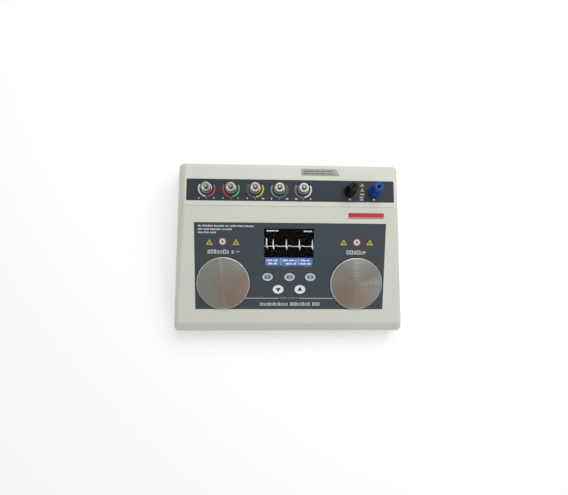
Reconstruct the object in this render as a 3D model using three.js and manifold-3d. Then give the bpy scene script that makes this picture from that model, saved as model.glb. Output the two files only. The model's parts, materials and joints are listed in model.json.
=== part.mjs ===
// Defibrillator analyser: a wedge-shaped desktop console with two round steel
// paddle plates, a colour display, five keys, five ECG lead posts and two
// binding posts. Millimetres, X to the right, Y to the rear, Z up. The origin
// is on the desk, under the middle of the case.

import * as THREE from "three";
import { ConvexGeometry } from "three/addons/geometries/ConvexGeometry.js";
import { mergeVertices } from "three/addons/utils/BufferGeometryUtils.js";
import Module from "manifold-3d";

const wasm = await Module();
wasm.setup();

// ---- driving dimensions ----

// Case. Its widest line is the parting line between the two shells.
const caseWidth = 340;
const caseDepth = 254.9;
const partingHeight = 28;
const partingGap = 0.4;
const deckHeight = 85.3;
const deckDepth = 59;
const faceTilt = THREE.MathUtils.degToRad(13);
const sideLean = THREE.MathUtils.degToRad(18.7);
const rearLean = THREE.MathUtils.degToRad(18.7);
const frontSetback = 12;
const bottomSetback = 4;
const wall = 2.6;
const edgeRadius = 6.5;
const bottomRadius = 5;
const cornerRadius = 7.5;
const lipHeight = 2;
const lipWall = 1.4;
const grooveWidth = 0.9;
const grooveDepth = 0.7;

// Clearances.
const seatGap = 0.3;
const slipGap = 0.3;

// Feet and case screws.
const footHeight = 4;
const footRadius = 7.5;
const footPinRadius = 2;
const footPinLength = 2.2;
const footX = 148;
const footY = 108;
const screwX = 138;
const screwY = 88;
const screwRadius = 1.8;
const screwHeadRadius = 3.6;
const screwHeadHeight = 2.6;
const screwLength = 34;
const bossRadius = 4.6;

// Printed overlays, set flush into pockets of the upper shell.
const overlayThickness = 0.6;
const overlayWidth = 270;
const overlayDepth = 124;
const overlayBackMargin = 23.4;
const stripWidth = 291.3;
const stripDepth = 30.4;
const stripFrontMargin = 7.2;
const stripCorner = 1.5;

// Display, measured on the sloping face from the overlay's centre.
const windowWidth = 70.5;
const windowDepth = 52.9;
const windowThickness = 1;
const windowU = -2.25;
const windowV = 27.35;
const windowLedge = 0.8;
const moduleWidth = 80;
const moduleDepth = 62;
const moduleThickness = 6;

// Paddle plates.
const plateRadius = 37.5;
const plateThickness = 3;
const plateChamfer = 1;
const plateX = 95;
const plateV = -24;
const plateStudRadius = 3;
const plateStudLength = 18;
const bushRadius = 4.5;
const bushFlangeRadius = 10;
const bushFlange = 2.5;
const plateNutAcross = 10;
const plateNutHeight = 5;

// Keys: a row of three and a row of two.
const keyTravel = 0.7;
const keyRise = 0.9;
const keyFlange = 1.2;
const keyFlangeHeight = 1.2;
const keyStemRadius = 2;
const keyStemLength = 2;
const functionKeySize = [14.7, 11.1];
const arrowKeySize = [15.4, 12.4];
const keys = [
  { name: "key_f1", u: -32.3, v: -15, size: functionKeySize },
  { name: "key_f2", u: -0.9, v: -15, size: functionKeySize },
  { name: "key_f3", u: 28.7, v: -15, size: functionKeySize },
  { name: "key_down", u: -17, v: -33, size: arrowKeySize },
  { name: "key_up", u: 14.2, v: -33, size: arrowKeySize },
];
const boardThickness = 1.6;
const keyBoardWidth = 84;
const keyBoardDepth = 38;
const keyBoardU = -1.4;
const keyBoardV = -24;

// ECG lead posts, in one row behind the crease.
const ecgPitch = 33.7;
const ecgFirstX = -117.7;
const ecgCount = 5;
const ecgRow = 24.2;
const ecgFlangeRadius = 7.5;
const ecgFlangeHeight = 2;
const ecgStudRadius = 1.7;
const ecgShankRadius = 2.5;
const ecgShankLength = 16;
const ecgNutRadius = 7;
const ecgNutHeight = 8;
const ecgNutFacets = 12;
const ecgSnapRadius = 2.1;
const ecgHeight = 14.2;

// Binding posts.
const bindingPosts = [{ name: "black_post", x: 83 }, { name: "blue_post", x: 117.3 }];
const bindingRow = 22.8;
const bindingFlangeRadius = 8.3;
const bindingFlangeHeight = 3.7;
const bindingBarrelRadius = 5;
const bindingBarrelLength = 6;
const bindingStemRadius = 3;
const bindingSocketRadius = 2.05;
const bindingSocketDepth = 16.5;
const bindingCrossHole = 1.1;
const bindingWasherRadius = 6;
const bindingWasherHeight = 1;
const bindingKnobRadius = 7.6;
const bindingKnobTopRadius = 5.9;
const bindingKnobHeight = 21.4;
const bindingMouthRadius = 2.5;
const bindingLip = 1.5;
const bindingRise = 4;
const bindingStemTail = 16;

// Terminal board under the deck, and its bosses.
const terminalBoardWidth = 264;
const terminalBoardDepth = 22;
const terminalBoardDrop = 9;
const terminalBossX = [-101, 50, 100];

// Rear legend plate, a trapezium with one slanted end.
const legendThickness = 0.6;
const legendPocket = 0.4;
const legendCorners = [[14, 44.3], [69.2, 44.3], [63.4, 54.7], [14, 54.7]];

// Rear connector panel, behind a window in the rear wall.
const rearWindowWidth = 150;
const rearWindowHeight = 34;
const rearWindowZ = 54;
const rearWindowCorner = 3;
const rearPanelMargin = 5;
const rearPanelThickness = 2;
const switchX = -56;
const switchWidth = 13;
const switchHeight = 19;
const switchDepth = 15;
const switchBezel = 0.8;
const switchWall = 1.3;
const rockerTilt = THREE.MathUtils.degToRad(8);
const rockerThickness = 4.5;
const usbX = 14;
const usbWidth = 12;
const usbHeight = 11;
const usbOpening = [8.6, 7.8];
const usbDepth = 15;
const jackFlangeHeight = 1.2;
const powerJack = { x: -18, flange: 6.5, barrel: 5, bore: 2.9, pin: 1, depth: 12 };
const scopeJack = { x: 48, flange: 6, barrel: 4, bore: 1.8, pin: 0, depth: 12 };

// Inner assemblies.
const mainBoardWidth = 200;
const mainBoardDepth = 104;
const mainBoardY = -3.7;
const mainBoardHeight = 16;
const standoffRadius = 3.5;
const standoffInset = 6;
const resistorRadius = 13;
const resistorBore = 8;
const resistorBand = 0.8;
const resistorLength = 150;
const resistorY = -85.7;
const resistorHeight = 26;
const bracketThickness = 2;
const bracketWidth = 24;
const bracketFoot = 14;
const spigotLength = 6;
const batteryWidth = 118;
const batteryDepth = 38;
const batteryHeight = 26;
const batteryY = 74.3;
const leadRadius = 1.6;
const leadBend = 14;
const ribbonWidth = 30;
const ribbonThickness = 0.5;

// ---- derived places ----

const rearY = caseDepth / 2;
const rearSetback = (deckHeight - partingHeight) * Math.tan(rearLean);
const creaseY = rearY - rearSetback - deckDepth;
const faceBackV = overlayDepth / 2 + overlayBackMargin;
const faceY = creaseY - faceBackV * Math.cos(faceTilt);
const faceZ = deckHeight - faceBackV * Math.sin(faceTilt);
const frontCreaseY = -caseDepth / 2 + frontSetback;
const frontHeight = deckHeight - (creaseY - frontCreaseY) * Math.tan(faceTilt);
const frontLean = Math.atan(frontSetback / (frontHeight - partingHeight));
const frontRadius = Math.min(edgeRadius, (frontHeight - partingHeight) / 2.5);
const floorZ = footHeight + wall;
const upperZ = partingHeight + partingGap / 2;
const lowerZ = partingHeight - partingGap / 2;
const draft = Math.atan(bottomSetback / (lowerZ - footHeight));
const overlayPocket = overlayThickness + seatGap;
const windowPocket = overlayPocket + windowThickness - seatGap;
const keyBoardW = -(wall + seatGap + keyFlangeHeight + keyStemLength + keyTravel + 1.2);
const rearWallY = rearY - (rearWindowZ - partingHeight) * Math.tan(rearLean);
const rearPanelInset = wall + seatGap;

// ---- shape helpers ----

// A closed three.js geometry as a solid that can be joined and cut.
function toSolid(geometry) {
  const bare = geometry.clone();
  bare.deleteAttribute("normal");
  bare.deleteAttribute("uv");
  const merged = mergeVertices(bare, 1e-4);
  const mesh = new wasm.Mesh({
    numProp: 3,
    vertProperties: merged.attributes.position.array,
    triVerts: new Uint32Array(merged.index.array),
  });
  return new wasm.Manifold(mesh);
}

function toGeometry(solid) {
  const mesh = solid.getMesh();
  const geometry = new THREE.BufferGeometry();
  geometry.setAttribute("position", new THREE.BufferAttribute(mesh.vertProperties, 3));
  geometry.setIndex(new THREE.BufferAttribute(mesh.triVerts, 1));
  geometry.computeVertexNormals();
  return geometry;
}

function joined(geometries) {
  return geometries.map(toSolid).reduce((sum, solid) => sum.add(solid));
}

// A flat outline pushed up from one height to another.
function prism(shape, low, high, curveSegments = 6) {
  const settings = { depth: high - low, bevelEnabled: false, curveSegments };
  return new THREE.ExtrudeGeometry(shape, settings).translate(0, 0, low);
}

function block(width, depth, height, x, y, low) {
  return new THREE.BoxGeometry(width, depth, height).translate(x, y, low + height / 2);
}

// A profile of [radius, height] pairs turned about Z.
function turned(profile, segments = 16) {
  const points = profile.map(([radius, height]) => new THREE.Vector2(radius, height));
  return new THREE.LatheGeometry(points, segments).rotateX(Math.PI / 2);
}

function rod(radius, low, high, x = 0, y = 0, segments = 12) {
  return turned([[0, low], [radius, low], [radius, high], [0, high]], segments).translate(x, y, 0);
}

// A ring's profile, closed on itself.
function ringProfile(inner, outer, low, high) {
  return [[inner, low], [outer, low], [outer, high], [inner, high], [inner, low]];
}

function roundedRectangle(width, depth, radius, x = 0, y = 0) {
  const shape = new THREE.Shape();
  const right = x + width / 2;
  const left = x - width / 2;
  const back = y + depth / 2;
  const front = y - depth / 2;
  shape.moveTo(left + radius, front);
  shape.absarc(right - radius, front + radius, radius, -Math.PI / 2, 0);
  shape.absarc(right - radius, back - radius, radius, 0, Math.PI / 2);
  shape.absarc(left + radius, back - radius, radius, Math.PI / 2, Math.PI);
  shape.absarc(left + radius, front + radius, radius, Math.PI, Math.PI * 1.5);
  return shape;
}

function oval(width, depth, x = 0, y = 0) {
  const shape = new THREE.Shape();
  shape.absellipse(x, y, width / 2, depth / 2, 0, Math.PI * 2);
  return shape;
}

function polygon(points) {
  return new THREE.Shape(points.map(([x, y]) => new THREE.Vector2(x, y)));
}

function hexagon(across) {
  const radius = across / Math.sqrt(3);
  const points = [];
  for (let corner = 0; corner < 6; corner += 1) {
    const angle = (corner * Math.PI) / 3;
    points.push([radius * Math.cos(angle), radius * Math.sin(angle)]);
  }
  return polygon(points);
}

function circleHole(radius) {
  const hole = new THREE.Path();
  hole.absarc(0, 0, radius, 0, Math.PI * 2, true);
  return hole;
}

// ---- places and scene graph ----

const analyser = new THREE.Group();
const face = new THREE.Group();
face.position.set(0, faceY, faceZ);
face.rotation.x = faceTilt;
const deck = new THREE.Group();
deck.position.set(0, creaseY, deckHeight);
const rear = new THREE.Group();
rear.position.set(
  0,
  rearWallY - rearPanelInset * Math.cos(rearLean),
  rearWindowZ - rearPanelInset * Math.sin(rearLean),
);
rear.rotation.set(rearLean - Math.PI / 2, 0, 0);
analyser.add(face, deck, rear);
for (const group of [face, deck, rear]) {
  group.updateMatrix();
}

// In the rear group, X is still to the right, Y runs down the wall and Z points out.
function onFace(geometry) {
  return geometry.applyMatrix4(face.matrix);
}

function onDeck(geometry) {
  return geometry.applyMatrix4(deck.matrix);
}

function onRear(geometry) {
  return geometry.applyMatrix4(rear.matrix);
}

function addMesh(parent, name, shape, material) {
  const geometry = shape instanceof THREE.BufferGeometry ? shape : toGeometry(shape);
  const mesh = new THREE.Mesh(geometry, material.clone());
  mesh.name = name;
  parent.add(mesh);
  return mesh;
}

function finish(color, roughness, metalness = 0) {
  return new THREE.MeshStandardMaterial({ color, roughness, metalness });
}

const shellPlastic = finish(0xd2d3c6, 0.55);
const overlayFilm = finish(0x434d54, 0.4);
const clearWindow = finish(0x0b0b0a, 0.08);
const displayGlass = finish(0x050505, 0.2);
const steel = finish(0x8e8a82, 0.3, 1);
const nickel = finish(0xc9c5b8, 0.25, 1);
const brass = finish(0xb08d4a, 0.35, 1);
const greyKey = finish(0xa9b4bb, 0.45);
const whiteKey = finish(0xe6e9ea, 0.45);
const blackPlastic = finish(0x17191c, 0.4);
const bluePlastic = finish(0x1c4fae, 0.35);
const legendGrey = finish(0x98a09c, 0.45);
const nylon = finish(0xe4e1d4, 0.5);
const boardGreen = finish(0x1f5a3a, 0.5);
const ceramic = finish(0x5c6b52, 0.7);
const zincSheet = finish(0xb9bcc0, 0.35, 1);
const batteryWrap = finish(0x2b4f86, 0.4);
const rubber = finish(0x222222, 0.85);
const redLead = finish(0xa32222, 0.5);
const ribbonGrey = finish(0xb5b8bb, 0.5);

// ---- case hulls ----

function wallPlane(normal, point) {
  const unit = new THREE.Vector3(...normal).normalize();
  return { normal: unit, offset: unit.dot(new THREE.Vector3(...point)) };
}

// The point where three planes meet once each is moved in by the inset.
function meetingPoint(planes, inset) {
  const rows = planes.flatMap(({ normal }) => normal.toArray());
  const inverse = new THREE.Matrix3().set(...rows).invert();
  const offsets = planes.map(({ offset }) => offset - inset);
  return new THREE.Vector3(...offsets).applyMatrix3(inverse);
}

// Points of a ball that rounds the corner between three planes.
function cornerBall(planes, radius, inset, rings) {
  const centre = meetingPoint(planes, radius);
  const directions = planes.map(({ normal }) => normal);
  for (let ring = 0; ring <= rings; ring += 1) {
    const latitude = -Math.PI / 2 + (Math.PI * ring) / rings;
    const steps = ring === 0 || ring === rings ? 1 : 2 * rings;
    for (let step = 0; step < steps; step += 1) {
      const longitude = (2 * Math.PI * step) / steps;
      const flat = Math.cos(latitude);
      directions.push(new THREE.Vector3(
        flat * Math.cos(longitude),
        flat * Math.sin(longitude),
        Math.sin(latitude),
      ));
    }
  }
  const ballRadius = Math.max(radius - inset, 0.2);
  return directions.map((direction) => direction.clone().multiplyScalar(ballRadius).add(centre));
}

// The case's outline at the parting line, moved in by an amount for each side.
function partingOutline(insets, radius, height, steps = 5) {
  const halfWidth = caseWidth / 2 - insets.side - radius;
  const front = -caseDepth / 2 + insets.front + radius;
  const back = caseDepth / 2 - insets.rear - radius;
  const corners = [[halfWidth, front], [halfWidth, back], [-halfWidth, back], [-halfWidth, front]];
  return corners.flatMap(([x, y], corner) => {
    const points = [];
    for (let step = 0; step <= steps; step += 1) {
      const angle = ((corner - 1 + step / steps) * Math.PI) / 2;
      points.push(new THREE.Vector3(
        x + radius * Math.cos(angle),
        y + radius * Math.sin(angle),
        height,
      ));
    }
    return points;
  });
}

function upperInsets(inset) {
  return {
    side: inset / Math.cos(sideLean),
    front: inset / Math.cos(frontLean),
    rear: inset / Math.cos(rearLean),
  };
}

const deckPlane = wallPlane([0, 0, 1], [0, 0, deckHeight]);
const facePlane = wallPlane([0, -Math.sin(faceTilt), Math.cos(faceTilt)], [0, creaseY, deckHeight]);
const frontPlane = wallPlane(
  [0, -Math.cos(frontLean), Math.sin(frontLean)],
  [0, -caseDepth / 2, partingHeight],
);
const rearPlane = wallPlane(
  [0, Math.cos(rearLean), Math.sin(rearLean)],
  [0, rearY, partingHeight],
);

function sidePlane(side, lean, height) {
  return wallPlane([side * Math.cos(lean), 0, Math.sin(lean)], [(side * caseWidth) / 2, 0, height]);
}

// The upper shell's outer form, or the same form moved in, from a flat base.
function upperHull(inset, base, rings = 8) {
  const radius = Math.max(cornerRadius - inset, 1);
  const points = partingOutline(upperInsets(inset), radius, upperZ);
  if (base < upperZ) {
    points.push(...partingOutline(upperInsets(inset), radius, base));
  }
  for (const side of [-1, 1]) {
    const beside = sidePlane(side, sideLean, partingHeight);
    points.push(...cornerBall([facePlane, beside, frontPlane], frontRadius, inset, rings));
    points.push(...cornerBall([facePlane, beside, deckPlane], edgeRadius, inset, rings));
    points.push(...cornerBall([deckPlane, beside, rearPlane], edgeRadius, inset, rings));
  }
  return toSolid(new ConvexGeometry(points));
}

function lowerHull(inset, top, rings = 6) {
  const radius = Math.max(cornerRadius - inset, 1);
  const flat = inset / Math.cos(draft);
  const insets = { side: flat, front: flat, rear: flat };
  const points = partingOutline(insets, radius, lowerZ);
  if (top > lowerZ) {
    points.push(...partingOutline(insets, radius, top));
  }
  const under = wallPlane([0, 0, -1], [0, 0, footHeight]);
  for (const side of [-1, 1]) {
    const beside = sidePlane(side, -draft, lowerZ);
    for (const end of [-1, 1]) {
      const endPlane = wallPlane(
        [0, end * Math.cos(draft), -Math.sin(draft)],
        [0, (end * caseDepth) / 2, lowerZ],
      );
      points.push(...cornerBall([under, beside, endPlane], bottomRadius, inset, rings));
    }
  }
  return toSolid(new ConvexGeometry(points));
}

function corners(x, y) {
  return [[-x, -y], [x, -y], [x, y], [-x, y]];
}

// ---- upper shell ----

function ecgX(index) {
  return ecgFirstX + index * ecgPitch;
}

function faceCuts() {
  const cuts = [
    prism(roundedRectangle(
      overlayWidth + 2 * slipGap,
      overlayDepth + 2 * slipGap,
      0.6,
    ), -overlayPocket, edgeRadius, 2),
    prism(roundedRectangle(
      windowWidth + 2 * slipGap,
      windowDepth + 2 * slipGap,
      0.6,
      windowU,
      windowV,
    ), -windowPocket, 1, 2),
    block(
      windowWidth + 2 * slipGap - 2 * windowLedge,
      windowDepth + 2 * slipGap - 2 * windowLedge,
      2 * wall,
      windowU,
      windowV,
      -2 * wall,
    ),
  ];
  for (const { u, v, size } of keys) {
    const hole = oval(size[0] + 2 * slipGap, size[1] + 2 * slipGap, u, v);
    cuts.push(prism(hole, -2 * wall, wall));
  }
  for (const side of [-1, 1]) {
    cuts.push(rod(bushRadius + slipGap, -2 * wall, wall, side * plateX, plateV, 16));
  }
  return cuts.map(onFace);
}

function deckCuts() {
  const stripY = stripFrontMargin + stripDepth / 2;
  const cuts = [
    prism(roundedRectangle(
      stripWidth + 2 * slipGap,
      stripDepth + 2 * slipGap,
      stripCorner,
      0,
      stripY,
    ), -overlayPocket, wall, 3),
    prism(polygon(legendCorners), -legendPocket, wall),
  ];
  for (let index = 0; index < ecgCount; index += 1) {
    cuts.push(rod(ecgShankRadius + slipGap, -2 * wall, wall, ecgX(index), ecgRow));
  }
  for (const { x } of bindingPosts) {
    cuts.push(rod(bindingBarrelRadius + slipGap, -2 * wall, wall, x, bindingRow));
  }
  return cuts.map(onDeck);
}

// The shadow line across the case where the sloping face meets the deck.
function creaseGroove() {
  const groove = new THREE.BoxGeometry(caseWidth, grooveWidth, 2 * grooveDepth);
  return groove.rotateX(faceTilt / 2).translate(0, creaseY, deckHeight);
}

function rearWindow() {
  const outline = roundedRectangle(rearWindowWidth, rearWindowHeight, rearWindowCorner);
  return onRear(prism(outline, -2 * wall, 2 * wall, 4));
}

function keyBoardBosses() {
  const low = keyBoardW + seatGap;
  const places = corners(keyBoardWidth / 2 - 4, keyBoardDepth / 2 - 3);
  return places.map(([u, v]) => onFace(rod(2.4, low, -wall / 2, u + keyBoardU, v + keyBoardV, 12)));
}

function terminalBosses() {
  const low = -(wall + terminalBoardDrop) + seatGap;
  return terminalBossX.map((x) => onDeck(rod(3, low, -wall / 2, x, ecgRow, 12)));
}

function upperShell() {
  const skin = upperHull(0, upperZ).subtract(upperHull(wall, upperZ - 1, 4));
  const posts = corners(screwX, screwY).map(([x, y]) => rod(bossRadius, upperZ, deckHeight, x, y));
  const bosses = joined(posts).intersect(upperHull(wall / 2, upperZ, 4));
  const holes = corners(screwX, screwY).map(([x, y]) => {
    const top = footHeight + screwHeadHeight + screwLength + 1;
    return rod(screwRadius + slipGap, upperZ - 1, top, x, y, 10);
  });
  const inside = joined([...keyBoardBosses(), ...terminalBosses()]);
  const cuts = joined([...faceCuts(), ...deckCuts(), creaseGroove(), rearWindow(), ...holes]);
  return skin.add(bosses).add(inside).subtract(cuts);
}

addMesh(analyser, "upper_shell", upperShell(), shellPlastic);

// ---- lower shell, feet and screws ----

function ring(outerInsets, innerInsets, low, high) {
  const flatten = (point) => new THREE.Vector2(point.x, point.y);
  const shape = new THREE.Shape(partingOutline(outerInsets, 4, 0, 3).map(flatten));
  shape.holes.push(new THREE.Path(partingOutline(innerInsets, 3, 0, 3).map(flatten)));
  return prism(shape, low, high);
}

function lip() {
  const outer = {
    side: wall / Math.cos(sideLean) + lipHeight * Math.tan(sideLean) + slipGap,
    front: wall / Math.cos(frontLean) + lipHeight * Math.tan(frontLean) + slipGap,
    rear: wall / Math.cos(rearLean) + lipHeight * Math.tan(rearLean) + slipGap,
  };
  const inner = {
    side: outer.side + lipWall,
    front: outer.front + lipWall,
    rear: outer.rear + lipWall,
  };
  const root = { side: wall / 2, front: wall / 2, rear: wall / 2 };
  const rootDepth = 3;
  return [
    ring(root, inner, lowerZ - rootDepth, lowerZ),
    ring(outer, inner, lowerZ - rootDepth, lowerZ + lipHeight),
  ];
}

function lowerShell() {
  const skin = lowerHull(0, lowerZ).subtract(lowerHull(wall, lowerZ + 1, 4));
  const rootInside = joined(lip());
  const posts = corners(screwX, screwY).map(([x, y]) => rod(bossRadius, floorZ - 1, lowerZ, x, y));
  const standoffs = corners(mainBoardWidth / 2 - standoffInset, mainBoardDepth / 2 - standoffInset)
    .map(([x, y]) => rod(standoffRadius, floorZ - 1, mainBoardHeight - seatGap, x, y + mainBoardY, 10));
  const cuts = corners(screwX, screwY).flatMap(([x, y]) => [
    rod(screwRadius + slipGap, footHeight - 1, lowerZ + 1, x, y, 10),
    rod(screwHeadRadius + slipGap, footHeight - 1, footHeight + screwHeadHeight, x, y, 16),
  ]);
  for (const [x, y] of corners(footX, footY)) {
    cuts.push(rod(footPinRadius + slipGap, footHeight - 1, floorZ + 1, x, y, 10));
  }
  return skin.add(rootInside).add(joined([...posts, ...standoffs])).subtract(joined(cuts));
}

addMesh(analyser, "lower_shell", lowerShell(), shellPlastic);

const footPlaces = corners(footX, footY);
const endNames = ["front_left", "front_right", "rear_right", "rear_left"];

footPlaces.forEach(([x, y], index) => {
  const foot = turned([
    [0, 0],
    [footRadius - 1, 0],
    [footRadius, 1],
    [footRadius, footHeight - 0.1],
    [footPinRadius, footHeight - 0.1],
    [footPinRadius, footHeight + footPinLength],
    [0, footHeight + footPinLength],
  ], 14);
  addMesh(analyser, `foot_${endNames[index]}`, foot, rubber).position.set(x, y, 0);
});

corners(screwX, screwY).forEach(([x, y], index) => {
  const head = footHeight + 0.3;
  const shoulder = footHeight + screwHeadHeight - 0.1;
  const screw = joined([
    rod(screwHeadRadius, head, shoulder, 0, 0, 16),
    rod(screwRadius, shoulder - 0.5, shoulder + screwLength, 0, 0, 12),
  ]).subtract(toSolid(block(4.4, 0.8, 1, 0, 0, head - 0.2)));
  addMesh(analyser, `case_screw_${endNames[index]}`, screw, nickel).position.set(x, y, 0);
});

// ---- sloping face ----

function mainOverlay() {
  const sheet = toSolid(prism(roundedRectangle(overlayWidth, overlayDepth, 0.5), -overlayThickness, 0, 2));
  const cuts = [block(
    windowWidth + 2 * slipGap,
    windowDepth + 2 * slipGap,
    4,
    windowU,
    windowV,
    -2,
  )];
  for (const { u, v, size } of keys) {
    cuts.push(prism(oval(size[0] + 2 * slipGap, size[1] + 2 * slipGap, u, v), -2, 2));
  }
  for (const side of [-1, 1]) {
    cuts.push(rod(bushRadius + slipGap, -2, 2, side * plateX, plateV, 16));
  }
  return sheet.subtract(joined(cuts));
}

addMesh(face, "main_overlay", mainOverlay(), overlayFilm);

const windowLow = -windowPocket + seatGap;
const windowSheet = prism(roundedRectangle(windowWidth, windowDepth, 0.5), 0, windowThickness, 2);
addMesh(face, "display_window", windowSheet, clearWindow).position.set(windowU, windowV, windowLow);

function displayModule() {
  const top = -wall - seatGap;
  const glassWidth = windowWidth - 2 * windowLedge - 0.4;
  const glassDepth = windowDepth - 2 * windowLedge - 0.4;
  const glassTop = windowLow - seatGap;
  return joined([
    block(moduleWidth, moduleDepth, moduleThickness, windowU, windowV, top - moduleThickness),
    block(glassWidth, glassDepth, glassTop - top + 0.5, windowU, windowV, top - 0.5),
  ]);
}

addMesh(face, "display_module", displayModule(), displayGlass);

// A steel contact plate with its stud; the rim has a bright chamfer.
function paddlePlate() {
  return turned([
    [0, -plateStudLength],
    [plateStudRadius - 0.5, -plateStudLength],
    [plateStudRadius, -plateStudLength + 0.5],
    [plateStudRadius, seatGap],
    [plateRadius, seatGap],
    [plateRadius, seatGap + plateThickness - plateChamfer],
    [plateRadius - plateChamfer, seatGap + plateThickness],
    [0, seatGap + plateThickness],
  ], 48);
}

function plateBush() {
  const low = -wall - seatGap - bushFlange;
  const top = -overlayThickness - seatGap;
  return turned([
    [plateStudRadius + slipGap, low],
    [bushFlangeRadius, low],
    [bushFlangeRadius, -wall - seatGap],
    [bushRadius, -wall - seatGap],
    [bushRadius, top],
    [plateStudRadius + slipGap, top],
    [plateStudRadius + slipGap, low],
  ]);
}

function plateNut() {
  const top = -wall - 2 * seatGap - bushFlange;
  const outline = hexagon(plateNutAcross);
  outline.holes.push(circleHole(plateStudRadius + slipGap));
  return prism(outline, top - plateNutHeight, top);
}

for (const { name, side } of [{ name: "sternum", side: -1 }, { name: "apex", side: 1 }]) {
  const place = [side * plateX, plateV, 0];
  addMesh(face, `${name}_plate`, paddlePlate(), steel).position.set(...place);
  addMesh(face, `${name}_bush`, plateBush(), nylon).position.set(...place);
  addMesh(face, `${name}_nut`, plateNut(), nickel).position.set(...place);
}

// A key cap with the flange that keeps it in its hole and the stem that
// presses the switch.
function keyCap(size) {
  const top = -wall - seatGap;
  const edge = 0.4;
  return joined([
    prism(oval(size[0], size[1]), top - 0.5, keyRise - edge, 8),
    prism(oval(size[0] - 2 * edge, size[1] - 2 * edge), 0, keyRise, 8),
    prism(oval(size[0] + 2 * keyFlange, size[1] + 2 * keyFlange), top - keyFlangeHeight, top, 8),
    rod(keyStemRadius, top - keyFlangeHeight - keyStemLength, top - 0.5, 0, 0, 12),
  ]);
}

for (const { name, u, v, size } of keys) {
  const material = size === arrowKeySize ? whiteKey : greyKey;
  addMesh(face, name, keyCap(size), material).position.set(u, v, 0);
}

// The key board carries one low switch under each key.
function keyBoard() {
  const switchTop = -(wall + seatGap + keyFlangeHeight + keyStemLength + keyTravel + seatGap);
  const parts = [block(
    keyBoardWidth,
    keyBoardDepth,
    boardThickness,
    keyBoardU,
    keyBoardV,
    keyBoardW - boardThickness,
  )];
  for (const { u, v } of keys) {
    parts.push(rod(2.5, keyBoardW - 0.5, switchTop, u, v, 12));
  }
  return joined(parts);
}

addMesh(face, "key_board", keyBoard(), boardGreen);

// ---- deck ----

function terminalOverlay() {
  const stripY = stripFrontMargin + stripDepth / 2;
  const outline = roundedRectangle(stripWidth, stripDepth, stripCorner, 0, stripY);
  const cuts = [];
  for (let index = 0; index < ecgCount; index += 1) {
    cuts.push(rod(ecgShankRadius + slipGap, -2, 2, ecgX(index), ecgRow));
  }
  for (const { x } of bindingPosts) {
    cuts.push(rod(bindingBarrelRadius + slipGap, -2, 2, x, bindingRow));
  }
  return toSolid(prism(outline, -overlayThickness, 0, 3)).subtract(joined(cuts));
}

addMesh(deck, "terminal_overlay", terminalOverlay(), overlayFilm);

const legendGap = new THREE.Vector2(slipGap, slipGap);
const legendOutline = legendCorners.map(([x, y], index) => {
  const inX = index === 0 || index === 3 ? 1 : -1;
  const inY = index < 2 ? 1 : -1;
  return [x + inX * legendGap.x * 1.4, y + inY * legendGap.y];
});
const legendPlate = prism(polygon(legendOutline), 0, legendThickness);
addMesh(deck, "legend_plate", legendPlate, legendGrey).position.z = -legendPocket + 0.1;

// An ECG post: flange, threaded stud with a snap head, and a shank that goes
// down through the deck to the terminal board.
function ecgPost() {
  const stud = ecgFlangeHeight + seatGap;
  const head = ecgHeight - 2 * ecgSnapRadius + 1;
  return turned([
    [0, -ecgShankLength],
    [ecgShankRadius, -ecgShankLength],
    [ecgShankRadius, seatGap],
    [ecgFlangeRadius, seatGap],
    [ecgFlangeRadius, stud - 0.5],
    [ecgFlangeRadius - 0.5, stud],
    [ecgStudRadius, stud],
    [ecgStudRadius, head - 0.6],
    [ecgSnapRadius, head + 0.2],
    [ecgSnapRadius, head + 1.2],
    [ecgSnapRadius * 0.8, ecgHeight - 0.4],
    [ecgSnapRadius * 0.45, ecgHeight],
    [0, ecgHeight],
  ], 12);
}

// A thumb nut with flats all round.
function ecgNut() {
  const points = [];
  for (let step = 0; step < 2 * ecgNutFacets; step += 1) {
    const angle = (step * Math.PI) / ecgNutFacets;
    const radius = step % 2 === 0 ? ecgNutRadius : ecgNutRadius - 0.45;
    points.push([radius * Math.cos(angle), radius * Math.sin(angle)]);
  }
  const outline = polygon(points);
  outline.holes.push(circleHole(ecgStudRadius + slipGap));
  const low = ecgFlangeHeight + 2 * seatGap;
  return prism(outline, low, low + ecgNutHeight, 8);
}

for (let index = 0; index < ecgCount; index += 1) {
  const number = index + 1;
  addMesh(deck, `ecg_post_${number}`, ecgPost(), nickel).position.set(ecgX(index), ecgRow, 0);
  addMesh(deck, `ecg_nut_${number}`, ecgNut(), nickel).position.set(ecgX(index), ecgRow, 0);
}

// Binding post: insulating collar, brass stem with a 4 mm socket, clamp
// washer and screw knob.
function bindingCollar() {
  const bore = bindingStemRadius + slipGap;
  return turned([
    [bore, -bindingBarrelLength],
    [bindingBarrelRadius, -bindingBarrelLength],
    [bindingBarrelRadius, seatGap],
    [bindingFlangeRadius, seatGap],
    [bindingFlangeRadius, seatGap + bindingFlangeHeight - 0.8],
    [bindingFlangeRadius - 0.8, seatGap + bindingFlangeHeight],
    [bore, seatGap + bindingFlangeHeight],
    [bore, -bindingBarrelLength],
  ]);
}

const washerLow = 2 * seatGap + bindingFlangeHeight;
const knobLow = washerLow + bindingWasherHeight + seatGap;
const knobTop = knobLow + bindingKnobHeight;
const stemTop = knobTop - bindingLip - 1;

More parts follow.
